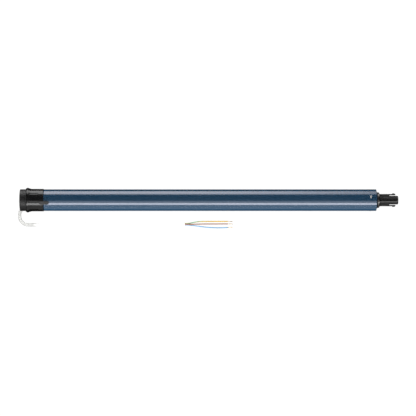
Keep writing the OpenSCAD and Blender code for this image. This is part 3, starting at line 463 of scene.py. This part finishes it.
def cut(made, tools, how="DIFFERENCE"):
    """Cuts tools out of a mesh, or joins them to it."""
    stock = bpy.data.objects.new("stock", bpy.data.meshes.new("stock"))
    made.to_mesh(stock.data)
    used = [stock]
    for tool in tools:
        cutter = bpy.data.objects.new("cutter", bpy.data.meshes.new("cutter"))
        tool.to_mesh(cutter.data)
        tool.free()
        step = stock.modifiers.new("cut", "BOOLEAN")
        step.operation = how
        step.solver = "EXACT"
        step.object = cutter
        used.append(cutter)
    for piece in used:
        bpy.context.collection.objects.link(piece)
    seen_by = bpy.context.evaluated_depsgraph_get()
    shaped = bpy.data.meshes.new_from_object(stock.evaluated_get(seen_by))
    made.clear()
    made.from_mesh(shaped)
    bpy.data.meshes.remove(shaped)
    for piece in used:
        bpy.data.meshes.remove(piece.data)
    bmesh.ops.remove_doubles(made, verts=made.verts, dist=1e-7)
    return made


def shown(name, made, material, body, slot, *stands_for):
    """Makes a mesh a piece of the object, in place of the CAD nodes that it stands for."""
    data = bpy.data.meshes.new(name)
    made.to_mesh(data)
    made.free()
    data.shade_smooth()
    data.set_sharp_from_angle(angle=math.radians(30))
    data.materials.append(material)
    piece = bpy.data.objects.new(name, data)
    piece.modifiers.new("even_shading", "WEIGHTED_NORMAL").keep_sharp = True
    bpy.context.collection.objects.link(piece)
    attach(piece, body)
    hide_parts(*stands_for)
    return piece


def drill(depth, r, mouth, y, z):
    """A round hole in the end face with a broken edge at its mouth."""
    return turned([(-2, 0), (-2, r + mouth), (0, r + mouth), (mouth, r), (depth, r), (depth, 0)], 48, y, z)


black_matte = finish(
    "black_matte", [(0.0024, 0.0024, 0.0025), (0.0034, 0.0034, 0.0035)], (0.42, 0.5), 5, 0.35, 0.012,
    specular=0.38,
)
cap_section = [(0, 0), *arc(CAP_ROUND, CAP_R - CAP_ROUND, CAP_ROUND, 180, 90)]
for x in RING_X:
    cap_section += [
        (x, CAP_R), (x + RING_SLOPE, CAP_R - RING_DEPTH), (x + RING_W - RING_SLOPE, CAP_R - RING_DEPTH),
        (x + RING_W, CAP_R),
    ]
cap_section += [
    (CAP_LEN - 0.3, CAP_R), (CAP_LEN, CAP_R - 0.3), (CAP_LEN, NECK_R), (CAP_LEN - PLUG_LEN, NECK_R),
    (CAP_LEN - PLUG_LEN, 0),
]
cap_screw_yz = math.sqrt(0.5) * CAP_SCREW_OUT
cap_tools = [drill(FIX_DEPTH, FIX_R, 0.4, 0, side * FIX_OUT) for side in (-1, 1)]
cap_tools.append(drill(BUTTON_WELL, BUTTON_HOLE_R, 0.35, BUTTON_OUT, 0))
cap_tools.append(drill(CAP_LEN, STEM_HOLE_R, 0.1, BUTTON_OUT, 0))
sink_r = CAP_SCREW_R + CAP_SCREW_ROOM
sink_section = [
    (-1, 0), (-1, 2 * CAP_SCREW_R + 1.1), (SINK_DEPTH, sink_r), (CAP_LEN, sink_r), (CAP_LEN, 0)
]
for side in (-1, 1):
    cap_tools.append(turned(sink_section, 48, side * cap_screw_yz, -side * cap_screw_yz))
cap_tools.append(turn_round(block((-2, 6, -NOTCH_W / 2), (NOTCH_X, CAP_R + 3, NOTCH_W / 2)), NOTCH_ANGLE))
shown("end_cap", cut(turned(cap_section), cap_tools), black_matte, "base", "black_gloss", "head_cap")


# Head screws
# Two countersunk steel screws with cross recesses, zinc plated. They hold the cap on the neck's bosses.
CAP_SCREW_LEN = 14


def screw(section, reach, wide, deep):
    """A cross-recessed screw along X whose head's top lies at the origin and faces -X."""
    arms = [block((-1, -reach, -wide), (deep, reach, wide)), block((-1, -wide, -reach), (deep, wide, reach))]
    return cut(turned(section, 48), arms)


def placed(made, at, facing):
    """Moves a screw's head to a place in millimetres, and turns its top to face a direction."""
    turn = Vector((-1, 0, 0)).rotation_difference(Vector(facing)).to_matrix()
    bmesh.ops.rotate(made, cent=(0, 0, 0), matrix=turn, verts=made.verts)
    bmesh.ops.translate(made, vec=Vector(at) * MM, verts=made.verts)
    return made


def joined(parts):
    """Several meshes as one."""
    whole = bmesh.new()
    for part in parts:
        data = bpy.data.meshes.new("part")
        part.to_mesh(data)
        part.free()
        whole.from_mesh(data)
        bpy.data.meshes.remove(data)
    return whole


bright_zinc = finish(
    "bright_zinc", [(0.38, 0.38, 0.375), (0.44, 0.44, 0.435)], (0.34, 0.46), 1.2, 0.12, 0.004, metal=1.0
)
cap_screw_section = [
    (0, 0), (0, 2 * CAP_SCREW_R - 0.15), (0.12, 2 * CAP_SCREW_R - 0.05), (CAP_SCREW_R, CAP_SCREW_R),
    (CAP_SCREW_LEN - 1.2, CAP_SCREW_R), (CAP_SCREW_LEN, 0.2), (CAP_SCREW_LEN, 0),
]
shown(
    "cap_screws",
    joined(
        placed(
            screw(cap_screw_section, 1.5, 0.28, 0.8), (0, side * cap_screw_yz, -side * cap_screw_yz),
            (-1, 0, 0),
        )
        for side in (-1, 1)
    ),
    bright_zinc, "base", "bright_steel", "head_screws",
)


# Set button
# Red moulded push button in the end face, with a dished top and a stem that reaches the switch on the
# sensor board. It is kept in its hole by the switch behind it.
BUTTON_R = 3
BUTTON_X = 0.4
BUTTON_LEN = 4
STEM_R = 1.5
STEM_X = 15.8
BUTTON_EDGE = 0.4
red_plastic = finish("red_plastic", [(0.42, 0.018, 0.010), (0.50, 0.024, 0.013)], (0.3, 0.42), 4, 0.3, 0.008)
button_section = [
    (BUTTON_X + 0.35, 0), (BUTTON_X + 0.3, 1), (BUTTON_X + 0.12, 1.8), (BUTTON_X, 2.3),
    *arc(BUTTON_X + BUTTON_EDGE, BUTTON_R - BUTTON_EDGE, BUTTON_EDGE, 180, 90, 4),
    (BUTTON_X + BUTTON_LEN, BUTTON_R), (BUTTON_X + BUTTON_LEN, STEM_R), (STEM_X - BUTTON_EDGE, STEM_R),
    (STEM_X, STEM_R - BUTTON_EDGE), (STEM_X, 0),
]
button_mesh = turned(button_section, 64, BUTTON_OUT)
shown("push_button", button_mesh, red_plastic, "button", "red_plastic", "set_button")


# Inside the head
# The dark neck that carries the crown and plugs into the tube, the pale clamp that grips the cable in it,
# both moulded nylon, and the sensor board, sawn from lacquered laminate and set across the neck.
TRACK_LEN = 8
GREEN_LACQUER = ((0.012, 0.11, 0.05), (0.03, 0.2, 0.09))


def dress(material, *names):
    """Gives CAD nodes their finish."""
    for name in names:
        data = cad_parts[name].data
        data.materials.clear()
        data.materials.append(material)


def board(name, lacquer, track, turn=(0, 0, 0)):
    """Lacquered circuit board with lighter tracks under the lacquer."""
    made = finish(name, [lacquer, lacquer], (0.25, 0.38), 9, 0.4, 0.004)
    nodes, links = made.node_tree.nodes, made.node_tree.links
    shader = nodes["Principled BSDF"]
    place = nodes.new("ShaderNodeTexCoord")
    way = nodes.new("ShaderNodeMapping")
    way.inputs["Rotation"].default_value = [math.radians(a) for a in turn]
    links.new(place.outputs["Object"], way.inputs["Vector"])
    tracks = nodes.new("ShaderNodeTexBrick")
    tracks.offset = 0.37
    tracks.inputs["Scale"].default_value = 1 / (TRACK_LEN * MM)
    tracks.inputs["Mortar Size"].default_value = 0.03
    tracks.inputs["Color1"].default_value = (*lacquer, 1)
    tracks.inputs["Color2"].default_value = (*[0.85 * part for part in lacquer], 1)
    tracks.inputs["Mortar"].default_value = (*track, 1)
    links.new(way.outputs["Vector"], tracks.inputs["Vector"])
    links.new(tracks.outputs["Color"], shader.inputs["Base Color"])
    return made


dark_nylon = finish("dark_nylon", [(0.012, 0.012, 0.013), (0.018, 0.018, 0.019)], (0.42, 0.55), 6, 0.4, 0.012)
pale_nylon = finish("pale_nylon", [(0.62, 0.59, 0.50), (0.70, 0.67, 0.58)], (0.38, 0.5), 6, 0.4, 0.01)
dress(dark_nylon, "head_body")
dress(pale_nylon, "cable_clamp")
dress(board("sensor_lacquer", *GREEN_LACQUER, (0, 90, 0)), "sensor_board")


# Crown ring
# Glossy black ring of moulded acetal that runs on the neck, with a rounded flange, long grooves for the
# tube adapter and a driver tab that reaches over the motor tube. Its inner teeth turn the encoder.
CROWN_X = (9.8, 38.7)
CROWN_R = 18.25
CROWN_ROUND = 1.1
MATTE_TO = 10.9
GLOSS_FROM = 11.3
CROWN_BORE_R = 13.57
SHOULDER_R = 15.77
GROOVE_X = (15.2, 30.1)
GROOVE_N = 8
GROOVE_PHASE = 35
GROOVE_DEPTH = 1
GROOVE_W = 3
GEAR_X = (25, 32)
GEAR_MODULE = 0.7
GEAR_TEETH = 42
GEAR_TIP = 1.15
GEAR_ROOT = 0.9
TAB_X = (32, 47.8)
TAB_Z = (17.8, 19.1)
TAB_W = 5.6
TAB_ANGLE = -14
flange_rises = [
    (0, 0.9), (0.25, 1.15), (0.6, 1.2), (1.2, 1.25), (1.6, 1.5), (2.1, 1.85), (2.4, 1.95), (2.7, 1.9),
    (3.4, 1.7), (4.3, 1.4), (5.3, 1.05), (6.3, 0.7), (7.3, 0.4), (8.3, 0.17), (9.3, 0.05), (10.2, 0),
]


def raised(made, levels):
    """Makes a flat face a solid that rises through levels, each a height and the width that it has there."""
    top = made.faces[:][0]
    for k, ((low, narrow), (high, wide)) in enumerate(zip(levels, levels[1:])):
        grown = bmesh.ops.extrude_face_region(made, geom=[top])["geom"]
        if k:
            bmesh.ops.delete(made, geom=[top], context="FACES_ONLY")
        top = next(part for part in grown if isinstance(part, bmesh.types.BMFace))
        bmesh.ops.translate(made, vec=(0, 0, (high - low) * MM), verts=top.verts)
        bmesh.ops.scale(made, vec=(wide / narrow, wide / narrow, 1), verts=top.verts)
    bmesh.ops.recalc_face_normals(made, faces=made.faces)
    return made


def slot_tool(x0, x1, levels):
    """A long upright slot with round ends along X. Each of its levels is a height and a half width."""
    made = bmesh.new()
    height, half_width = levels[0]
    bmesh.ops.create_circle(made, cap_ends=True, segments=32, radius=half_width * MM)
    bmesh.ops.rotate(made, cent=(0, 0, 0), matrix=Matrix.Rotation(math.pi / 32, 3, "Z"), verts=made.verts)
    bmesh.ops.translate(made, vec=(0, 0, height * MM), verts=made.verts)
    raised(made, levels)
    halves = [[vert for vert in made.verts if vert.co.x * side > 0] for side in (-1, 1)]
    for verts, end in zip(halves, (x0 + half_width, x1 - half_width)):
        bmesh.ops.translate(made, vec=(end * MM, 0, 0), verts=verts)
    return made


def lean(made, angle):
    """Turns a mesh round the motor's axis by an angle from straight up towards +Y."""
    return turn_round(made, -angle)


def gear_tool(x0, x1, module, teeth, tip, root):
    """The room inside a toothed ring: a gear's outline drawn out along X."""
    made = bmesh.new()
    bmesh.ops.create_circle(made, cap_ends=True, segments=teeth * 4, radius=module * (teeth / 2 + tip) * MM)
    shrink = (teeth / 2 - root) / (teeth / 2 + tip)
    made.verts.ensure_lookup_table()
    inner = [vert for k, vert in enumerate(made.verts) if k % 4 in (2, 3)]
    bmesh.ops.scale(made, vec=(shrink, shrink, 1), verts=inner)
    raised(made, [(0, 1), (x1 - x0, 1)])
    bmesh.ops.rotate(made, cent=(0, 0, 0), matrix=Matrix.Rotation(math.pi / 2, 3, "Y"), verts=made.verts)
    bmesh.ops.translate(made, vec=(x0 * MM, 0, 0), verts=made.verts)
    return made


def round_edges(made, width, steps=3, limit=25):
    """Rounds every edge of a mesh that is sharper than the limit."""
    sharp = [
        edge for edge in made.edges
        if len(edge.link_faces) == 2 and edge.calc_face_angle() > math.radians(limit)
    ]
    bmesh.ops.bevel(
        made, geom=sharp, offset=width * MM, offset_type="OFFSET", affect="EDGES", segments=steps,
        profile=0.5, material=-1, clamp_overlap=True,
    )
    return made


black_gloss = finish(
    "black_gloss", [(0.0012, 0.0012, 0.0013), (0.0017, 0.0017, 0.0018)], (0.18, 0.25), 8, 0.25, 0.004
)
shade_between(black_gloss, (2.4, 2.4, 2.4), MATTE_TO, GLOSS_FROM, rough=0.5)
crown_section = [
    (CROWN_X[0], CROWN_BORE_R), *[(CROWN_X[0] + x, CROWN_R + rise) for x, rise in flange_rises],
    *arc(CROWN_X[1] - CROWN_ROUND, CROWN_R - CROWN_ROUND, CROWN_ROUND, 90, 0), (CROWN_X[1], SHOULDER_R),
    (GEAR_X[1], SHOULDER_R), (GEAR_X[1], CROWN_BORE_R),
]
groove_floor, groove_half = CROWN_R - GROOVE_DEPTH, GROOVE_W / 2
groove_levels = [
    (groove_floor, groove_half - 0.15), (groove_floor + 0.1, groove_half - 0.05),
    (CROWN_R - 0.05, groove_half), (CROWN_R + 0.05, groove_half + 0.1), (CROWN_R + 3, groove_half + 0.1),
]
crown_tools = [
    lean(slot_tool(*GROOVE_X, groove_levels), GROOVE_PHASE + 360 * k / GROOVE_N) for k in range(GROOVE_N)
]
crown_tools.append(gear_tool(GEAR_X[0], GEAR_X[1] + 1, GEAR_MODULE, GEAR_TEETH, GEAR_TIP, GEAR_ROOT))
tab_levels = [
    (TAB_Z[0], TAB_W / 2), (TAB_Z[1] - 0.3, TAB_W / 2), (TAB_Z[1] - 0.1, TAB_W / 2 - 0.1),
    (TAB_Z[1], TAB_W / 2 - 0.3),
]
tab = lean(slot_tool(*TAB_X, tab_levels), TAB_ANGLE)
crown_mesh = cut(cut(turned(crown_section), crown_tools), [tab], "UNION")
shown("crown_sleeve", crown_mesh, black_gloss, "crown", "black_gloss", "crown_ring")


# Encoder
# Small moulded pinion on the neck, turned by the crown's inner teeth, with a sintered magnet pressed on
# its spindle in front of the sensor board.
magnet_grey = finish(
    "magnet_grey", [(0.05, 0.05, 0.055), (0.09, 0.09, 0.095)], (0.35, 0.5), 1, 0.1, 0.005, metal=0.8
)
dress(pale_nylon, "encoder_pinion")
dress(magnet_grey, "encoder_magnet")


# Motor tube
# Steel tube of 35 mm with a 1 mm wall, painted a smooth dark blue. It is slid over the head's spigot and
# the gearbox cover and screwed to both, and its far end is rolled in over the cover's cone.
TUBE_R = 17.5
TUBE_BORE_R = 16.5
TUBE_X = (39, 580)
TUBE_EDGE = 0.5
EVEN_X = (46, 58, 563, 576)
ROLL_X = 578
ROLL_ROUND = 0.6
LIP_R = 14
LIP_BORE_R = 13.2
HEAD_SCREW_X = 52
COVER_SCREW_X = 569.6
SCREW_SEAT = 17.2
SCREW_HEAD_R = 2
SCREW_SHANK_R = 1.2
HEAD_SCREW_ANGLES = (130, 230)
COVER_SCREW_ANGLES = (18, 138, 258)
screw_places = [(HEAD_SCREW_X, angle) for angle in HEAD_SCREW_ANGLES]
screw_places += [(COVER_SCREW_X, angle) for angle in COVER_SCREW_ANGLES]


def outwards(x, angle, r):
    """A place at a radius from the motor's axis, at an angle from straight up towards +Y."""
    return Vector((x, r * math.sin(math.radians(angle)), r * math.cos(math.radians(angle))))


def seat_tool(x, angle):
    """The hole for a tube screw and the flat seat of its head."""
    seat_r, hole_r = SCREW_HEAD_R + 0.1, SCREW_SHANK_R + 0.05
    section = [(-4, 0), (-4, seat_r), (0, seat_r), (0, hole_r), (3, hole_r), (3, 0)]
    return placed(turned(section, 32), outwards(x, angle, SCREW_SEAT), outwards(0, angle, 1))


tube_blue = finish(
    "tube_blue", [(0.0023, 0.0108, 0.0217), (0.0025, 0.0113, 0.0227)], (0.18, 0.21), 30, 1.6, 0.0015,
    stretch=(0.2, 1, 1), specular=1,
)
tube_blue.node_tree.nodes["Principled BSDF"].inputs["Specular Tint"].default_value = (0.97, 0.97, 1.07, 1)
tube_section = [
    (TUBE_X[0], TUBE_BORE_R), *arc(TUBE_X[0] + TUBE_EDGE, TUBE_R - TUBE_EDGE, TUBE_EDGE, 180, 90, 4),
    *[(x, TUBE_R) for x in EVEN_X], *arc(ROLL_X + ROLL_ROUND, TUBE_R - ROLL_ROUND, ROLL_ROUND, 90, 30, 4),
    (TUBE_X[1] - 0.1, LIP_R + 0.3), (TUBE_X[1], LIP_R - 0.2), (TUBE_X[1], LIP_BORE_R),
    (ROLL_X - 0.5, TUBE_BORE_R), *[(x, TUBE_BORE_R) for x in EVEN_X[2::-1]],
]
tube_mesh = cut(turned(tube_section), [seat_tool(x, angle) for x, angle in screw_places])
tube_shell = shown("tube_shell", tube_mesh, tube_blue, "base", "blue_paint", "motor_tube")
# The near fill lights nothing but the paint.
tube_only = bpy.data.collections.new("tube_only")
tube_only.objects.link(tube_shell)
near_fill.light_linking.receiver_collection = tube_only


# Tube screws
# Five zinc-plated pan head screws with cross recesses: two hold the tube on the head's spigot, three on
# the gearbox cover.
SCREW_RIM = 0.2
SCREW_DOME = 0.7
SCREW_LEN = 4.5
dome_r = (SCREW_HEAD_R ** 2 + SCREW_DOME ** 2) / (2 * SCREW_DOME)
dome_angle = math.degrees(math.asin(SCREW_HEAD_R / dome_r))
head_h = SCREW_DOME + SCREW_RIM
tube_screw_section = [
    *arc(dome_r, 0, dome_r, 180, 180 - dome_angle, 8), (head_h, SCREW_HEAD_R), (head_h, SCREW_SHANK_R),
    (head_h + SCREW_LEN - 0.5, SCREW_SHANK_R), (head_h + SCREW_LEN, SCREW_SHANK_R - 0.5),
    (head_h + SCREW_LEN, 0),
]
shown(
    "pan_screws",
    joined(
        placed(
            screw(tube_screw_section, 1.15, 0.22, 0.6), outwards(x, angle, SCREW_SEAT + head_h),
            outwards(0, angle, 1),
        )
        for x, angle in screw_places
    ),
    bright_zinc, "base", "bright_steel", "tube_screws",
)


# Electronics
# Control board on its moulded carrier behind the head, with its terminal block, taped power module, two
# relays, upright radio board and motor connector. The supply leads come from the cable's end.
LEAD_D = 1.5
LEAD_Y = (-6.4, -4.7, -3)
terminal_green = finish(
    "terminal_green", [(0.02, 0.20, 0.08), (0.03, 0.25, 0.10)], (0.35, 0.45), 5, 0.3, 0.008
)
yellow_tape = finish("yellow_tape", [(0.72, 0.50, 0.05), (0.80, 0.58, 0.08)], (0.28, 0.4), 3, 0.6, 0.02)
relay_blue = finish(
    "relay_blue", [(0.008, 0.014, 0.035), (0.012, 0.020, 0.045)], (0.3, 0.42), 6, 0.3, 0.008
)
dress(dark_nylon, "board_carrier")
dress(board("control_lacquer", *GREEN_LACQUER), "control_board")
dress(board("radio_lacquer", (0.012, 0.03, 0.14), (0.03, 0.07, 0.24), (90, 0, 0)), "radio_module")
dress(terminal_green, "terminal_block")
dress(yellow_tape, "power_module")
dress(relay_blue, "relays")
dress(pale_nylon, "motor_connector")
lead_red = finish("lead_red", [(0.42, 0.02, 0.015), (0.50, 0.03, 0.02)], *PVC)
supply_routes = [
    [(33, y, -3.9), (42, 1.05 * y, -3.5), (50, 1.08 * y, -3.6), (58, 1.04 * y, -4.1), (67, y, -3.9)]
    for y in LEAD_Y
]
supply = as_mesh(cord_curve("board_leads", supply_routes, LEAD_D))
laid(supply, lead_red, "lead_sleeve", "supply_leads")


# Run capacitor
# Drawn aluminium can with two flat tags, held in the tube by two moulded clips. The motor's three leads
# run past it along the top of the tube, from the connector to the windings.
MOTOR_LEAD_D = 1.6
MOTOR_LEAD_X = (172, 309)
MOTOR_LEAD_Y = (-2.4, 0, 2.4)
MOTOR_LEAD_Z = 14.6
MOTOR_LEAD_SWAY = 0.3
MOTOR_LEAD_STEPS = 12
drawn_can = finish(
    "drawn_can", [(0.66, 0.66, 0.65), (0.74, 0.74, 0.73)], (0.25, 0.35), 4, 0.3, 0.004, metal=1.0,
    stretch=(0.1, 1, 1),
)
dress(drawn_can, "run_capacitor")
dress(dark_nylon, "capacitor_clips")
lead_step = (MOTOR_LEAD_X[1] - MOTOR_LEAD_X[0]) / MOTOR_LEAD_STEPS
motor_routes = [
    [
        (MOTOR_LEAD_X[0] + lead_step * k, y + MOTOR_LEAD_SWAY * math.sin(math.pi * k / 3), MOTOR_LEAD_Z)
        for k in range(MOTOR_LEAD_STEPS + 1)
    ]
    for y in MOTOR_LEAD_Y
]
laid(as_mesh(cord_curve("winding_leads", motor_routes, MOTOR_LEAD_D)), lead_red, "lead_sleeve", "motor_leads")


# Motor
# Cast end bells with sintered bronze bushes, a laminated stator with enamelled copper windings and a
# thermal cut-out, and a squirrel cage rotor of laminations and cast aluminium on its ground shaft.
cast_zinc = finish(
    "cast_zinc", [(0.42, 0.43, 0.44), (0.54, 0.55, 0.56)], (0.42, 0.55), 5, 0.5, 0.02, metal=1.0
)
laminated = finish(
    "laminated", [(0.25, 0.26, 0.28), (0.42, 0.43, 0.45)], (0.35, 0.5), 20, 2, 0.02, metal=1.0,
    stretch=(40, 1, 1),
)
enamel = finish(
    "enamelled_copper", [(0.36, 0.10, 0.035), (0.52, 0.18, 0.07)], (0.25, 0.38), 1.2, 0.5, 0.08, metal=0.7
)
bronze = finish(
    "sintered_bronze", [(0.42, 0.26, 0.10), (0.52, 0.34, 0.15)], (0.4, 0.52), 1.2, 0.2, 0.01, metal=1.0
)
ground_steel = finish(
    "ground_steel", [(0.50, 0.51, 0.53), (0.60, 0.61, 0.63)], (0.22, 0.34), 3, 0.2, 0.003, metal=1.0
)
dress(cast_zinc, "rear_bell", "front_bell")
dress(bronze, "rotor_bushes")
dress(laminated, "stator_core", "rotor_core")
dress(enamel, "stator_windings")
dress(pale_nylon, "thermal_cutout")
dress(drawn_can, "rotor_cage")
dress(ground_steel, "rotor_shaft")


# Brake
# Spring brake behind the motor: a cast housing, a coil wound on its core, a round wire spring and a steel
# armature that presses the friction disc on the rotor's shaft until the coil pulls it back.
SPRING_X = (458, 475)
SPRING_R = 7
SPRING_WIRE = 1.2
SPRING_TURNS = 5
TURN_STEPS = 16
COIL_X = (458, 474)
COIL_R = (8, 14.6)
COIL_ROWS = 20
friction = finish("friction_lining", [(0.05, 0.035, 0.025), (0.09, 0.065, 0.045)], (0.6, 0.8), 0.8, 0.3, 0.03)
dress(cast_zinc, "brake_housing")
dress(laminated, "brake_armature")
dress(friction, "brake_disc")
coil_step = (COIL_X[1] - COIL_X[0]) / COIL_ROWS
coil_section = [(COIL_X[0], COIL_R[0])]
for row in range(COIL_ROWS):
    middle = COIL_X[0] + (row + 0.5) * coil_step
    coil_section += arc(middle, COIL_R[1] - coil_step / 2, coil_step / 2, 165, 15, 4)
coil_section.append((COIL_X[1], COIL_R[0]))
shown("wound_coil", turned(coil_section, 96), enamel, "base", "copper", "brake_coil")
spring_start = SPRING_X[0] + SPRING_WIRE / 2
spring_rise = SPRING_X[1] - SPRING_X[0] - SPRING_WIRE
spring_steps = TURN_STEPS * SPRING_TURNS
spring_route = [
    (
        spring_start + spring_rise * k / spring_steps,
        SPRING_R * math.cos(math.tau * k / TURN_STEPS),
        SPRING_R * math.sin(math.tau * k / TURN_STEPS),
    )
    for k in range(spring_steps + 1)
]
spring = as_mesh(cord_curve("wire_spring", [spring_route], SPRING_WIRE))
laid(spring, ground_steel, "tool_steel", "brake_spring")
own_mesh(spring)


# Gearbox
# Three planetary stages in one cast ring gear: hobbed steel sun gears, sintered planets on riveted pins and
# turned carriers, the last of which is the output shaft. All of it runs in grease.
sintered = finish(
    "sintered_steel", [(0.30, 0.28, 0.25), (0.42, 0.39, 0.35)], (0.38, 0.5), 1, 0.15, 0.008, metal=1.0
)
dress(cast_zinc, "gear_housing")
dress(ground_steel, "motor_pinion", "carrier_1", "carrier_2", "output_carrier")
dress(sintered, *[f"planet_{stage}{letter}" for stage in (1, 2, 3) for letter in "abc"])


# Gearbox cover
# Black moulded cover that closes the gearbox inside the tube's end. Only its cone shows, between the
# tube's rolled lip and the output bush.
dress(black_matte, "gearbox_cover")


# Output bush
# Turned steel bush pressed into the cover, with a bright ring outside, rounded off towards the drive
# shaft, that keeps dirt out of the output shaft's running fit.
OUT_BORE_R = 6.07
BUSH_R = 9.07
GEAR_END_X = 561
CONE_X = 582.2
BRIGHT_R = 12.6
ring_falls = [
    (0, 0.25), (0.1, 0.05), (0.3, 0), (0.9, 0.05), (1.3, 0.2), (1.6, 0.45), (1.9, 0.85), (2.2, 1.4),
    (2.45, 1.95), (2.6, 2.5),
]
turned_steel = finish(
    "turned_steel", [(0.16, 0.15, 0.142), (0.22, 0.208, 0.198)], (0.24, 0.32), 2, 0.15, 0.003, metal=1.0
)
bush_section = [
    (GEAR_END_X, OUT_BORE_R), (GEAR_END_X, BUSH_R), (CONE_X, BUSH_R),
    *[(CONE_X + x, BRIGHT_R - fall) for x, fall in ring_falls], (CONE_X + ring_falls[-1][0], OUT_BORE_R),
]
shown("bush_ring", turned(bush_section, 128), turned_steel, "base", "bright_steel", "output_bush")


# Drive shaft
# Black glass-filled nylon, moulded: a round core, a sharp groove along its top and bottom and a rail
# along each side. It is pushed on the output shaft's square and held by a screw in its end.
DRIVE_X = (585.1, 614.9)
CORE_R = 7
CORE_ROUND = 1.6
RAIL_X = 600.6
RAIL_Y = (4.5, 9.9)
RAIL_Z = 3.5
RAIL_ROUND = 0.6
GROOVE_FLOOR = 5.5
GROOVE_END = 3.2
GROOVE_LEAN = -3.5
SQUARE = 4
SQUARE_X = 605.9
BORE_R = 2
HEAD_BORE_R = 3.9
HEAD_BORE_X = 609.4
ARM_Y = 8.9
KNUCKLE_R = 1.18
KNUCKLE_ROOM = 0.07
drive_black = finish(
    "drive_black", [(0.0026, 0.0026, 0.0027), (0.0036, 0.0036, 0.0037)], (0.43, 0.5), 4, 0.35, 0.014,
    specular=0.46,
)
# Painted shade for the groove: a darker black that barely reflects, so the groove reads as a dark line.
groove_painted_shade = finish(
    "groove_painted_shade", [(0.0015, 0.0015, 0.0016), (0.0022, 0.0022, 0.0023)], (0.7, 0.8), 4, 0.35, 0.01,
    specular=0.05,
)
core_section = [
    (DRIVE_X[0], 0), (DRIVE_X[0], CORE_R),
    *arc(DRIVE_X[1] - CORE_ROUND, CORE_R - CORE_ROUND, CORE_ROUND, 90, 0), (DRIVE_X[1], 0),
]
core = turned(core_section, 128)
rails = []
for side in (-1, 1):
    low, high = sorted(side * y for y in RAIL_Y)
    rails.append(round_edges(block((DRIVE_X[0], low, -RAIL_Z), (RAIL_X, high, RAIL_Z)), RAIL_ROUND))
cut(core, rails, "UNION")
key_levels = [(GROOVE_FLOOR, 0.1), (CORE_R - 0.05, 0.95), (CORE_R + 0.1, 1.05), (CORE_R + 3, 1.05)]
drive_tools = [
    lean(slot_tool(DRIVE_X[0] - 3, DRIVE_X[1] - GROOVE_END, key_levels), turn)
    for turn in (GROOVE_LEAN, GROOVE_LEAN + 180)
]
drive_tools += [
    block((DRIVE_X[0] - 1, -SQUARE, -SQUARE), (SQUARE_X, SQUARE, SQUARE)),
    turned([(SQUARE_X - 1, 0), (SQUARE_X - 1, BORE_R), (DRIVE_X[1], BORE_R), (DRIVE_X[1], 0)], 32),
    turned([
        (HEAD_BORE_X, 0), (HEAD_BORE_X, HEAD_BORE_R), (DRIVE_X[1] - 0.4, HEAD_BORE_R),
        (DRIVE_X[1] + 1, HEAD_BORE_R + 1.4), (DRIVE_X[1] + 1, 0),
    ], 64),
]
socket_r = KNUCKLE_R + KNUCKLE_ROOM
for side in (-1, 1):
    socket = turned([(-5, 0), (-5, socket_r), (5, socket_r), (5, 0)], 32)
    drive_tools.append(placed(socket, (RAIL_X, side * ARM_Y, 0), (0, 0, 1)))
spline = shown("drive_spline", cut(core, drive_tools), drive_black, "output", "black_gloss", "drive_shaft")
# The groove's floor and walls take the painted shade material.
spline.data.materials.append(groove_painted_shade)
for face in spline.data.polygons:
    along, across, up = face.center / MM
    in_groove = GROOVE_FLOOR - 0.1 < abs(up) < CORE_R - 0.06 and abs(across) < 1.4
    if in_groove and along < DRIVE_X[1] - 2:
        face.material_index = 1


# Latch arms
# Two springy arms at the ends of the rails, moulded in one with the shaft, each with a hook that snaps
# behind the drive wheel. A sloping nose bends them in as the wheel is pushed on.
ARM_LEN = 9.6
ARM_T = 2
HOOK_H = 1.2


def latch_mesh(side):
    """A latch arm with its round root, on the +Y side or, with -1, the -Y side."""
    flat = ARM_T / 2
    root = math.degrees(math.asin(flat / KNUCKLE_R))
    outline = [
        (ARM_LEN, -flat), (ARM_LEN, flat), (ARM_LEN - 1, flat + HOOK_H * 0.5), (ARM_LEN - 3, flat + HOOK_H),
        (ARM_LEN - 4.2, flat + HOOK_H), (ARM_LEN - 5, flat), *arc(0, 0, KNUCKLE_R, root, 360 - root, 16),
    ]
    made = bmesh.new()
    made.faces.new([made.verts.new((x * MM, side * y * MM, -RAIL_Z * MM)) for x, y in outline])
    raised(made, [(-RAIL_Z, 1), (RAIL_Z, 1)])
    bmesh.ops.translate(made, vec=(RAIL_X * MM, side * ARM_Y * MM, 0), verts=made.verts)
    return round_edges(made, 0.2)


# A flag keeps the far side's long box off the drive's black pieces.
flagged = bpy.data.collections.new("flagged")
flagged.objects.link(spline)
for letter, side in (("a", 1), ("b", -1)):
    arm = shown(
        "snap_arm_" + letter, latch_mesh(side), drive_black, "latch_" + letter, "black_gloss",
        "latch_arm_" + letter,
    )
    flagged.objects.link(arm)
for held in flagged.collection_objects:
    held.light_linking.link_state = "EXCLUDE"
far_box.light_linking.receiver_collection = flagged


# Drive screw
# Zinc-plated cheese head screw with a cross recess, deep in the drive shaft's end. It is screwed into the
# output shaft and keeps the drive shaft on its square.
DRIVE_HEAD_R = 3.6
DRIVE_HEAD_H = 3
DRIVE_HEAD_EDGE = 0.4
DRIVE_SCREW_LEN = 14.5
drive_screw_section = [
    (0, 0), *arc(DRIVE_HEAD_EDGE, DRIVE_HEAD_R - DRIVE_HEAD_EDGE, DRIVE_HEAD_EDGE, 180, 90, 4),
    (DRIVE_HEAD_H, DRIVE_HEAD_R), (DRIVE_HEAD_H, BORE_R), (DRIVE_HEAD_H + DRIVE_SCREW_LEN, BORE_R),
    (DRIVE_HEAD_H + DRIVE_SCREW_LEN, 0),
]
shown(
    "cheese_screw",
    placed(screw(drive_screw_section, 2.3, 0.45, 1.5), (HEAD_BORE_X + DRIVE_HEAD_H, 0, 0), (1, 0, 0)),
    bright_zinc, "output", "bright_steel", "drive_screw",
)
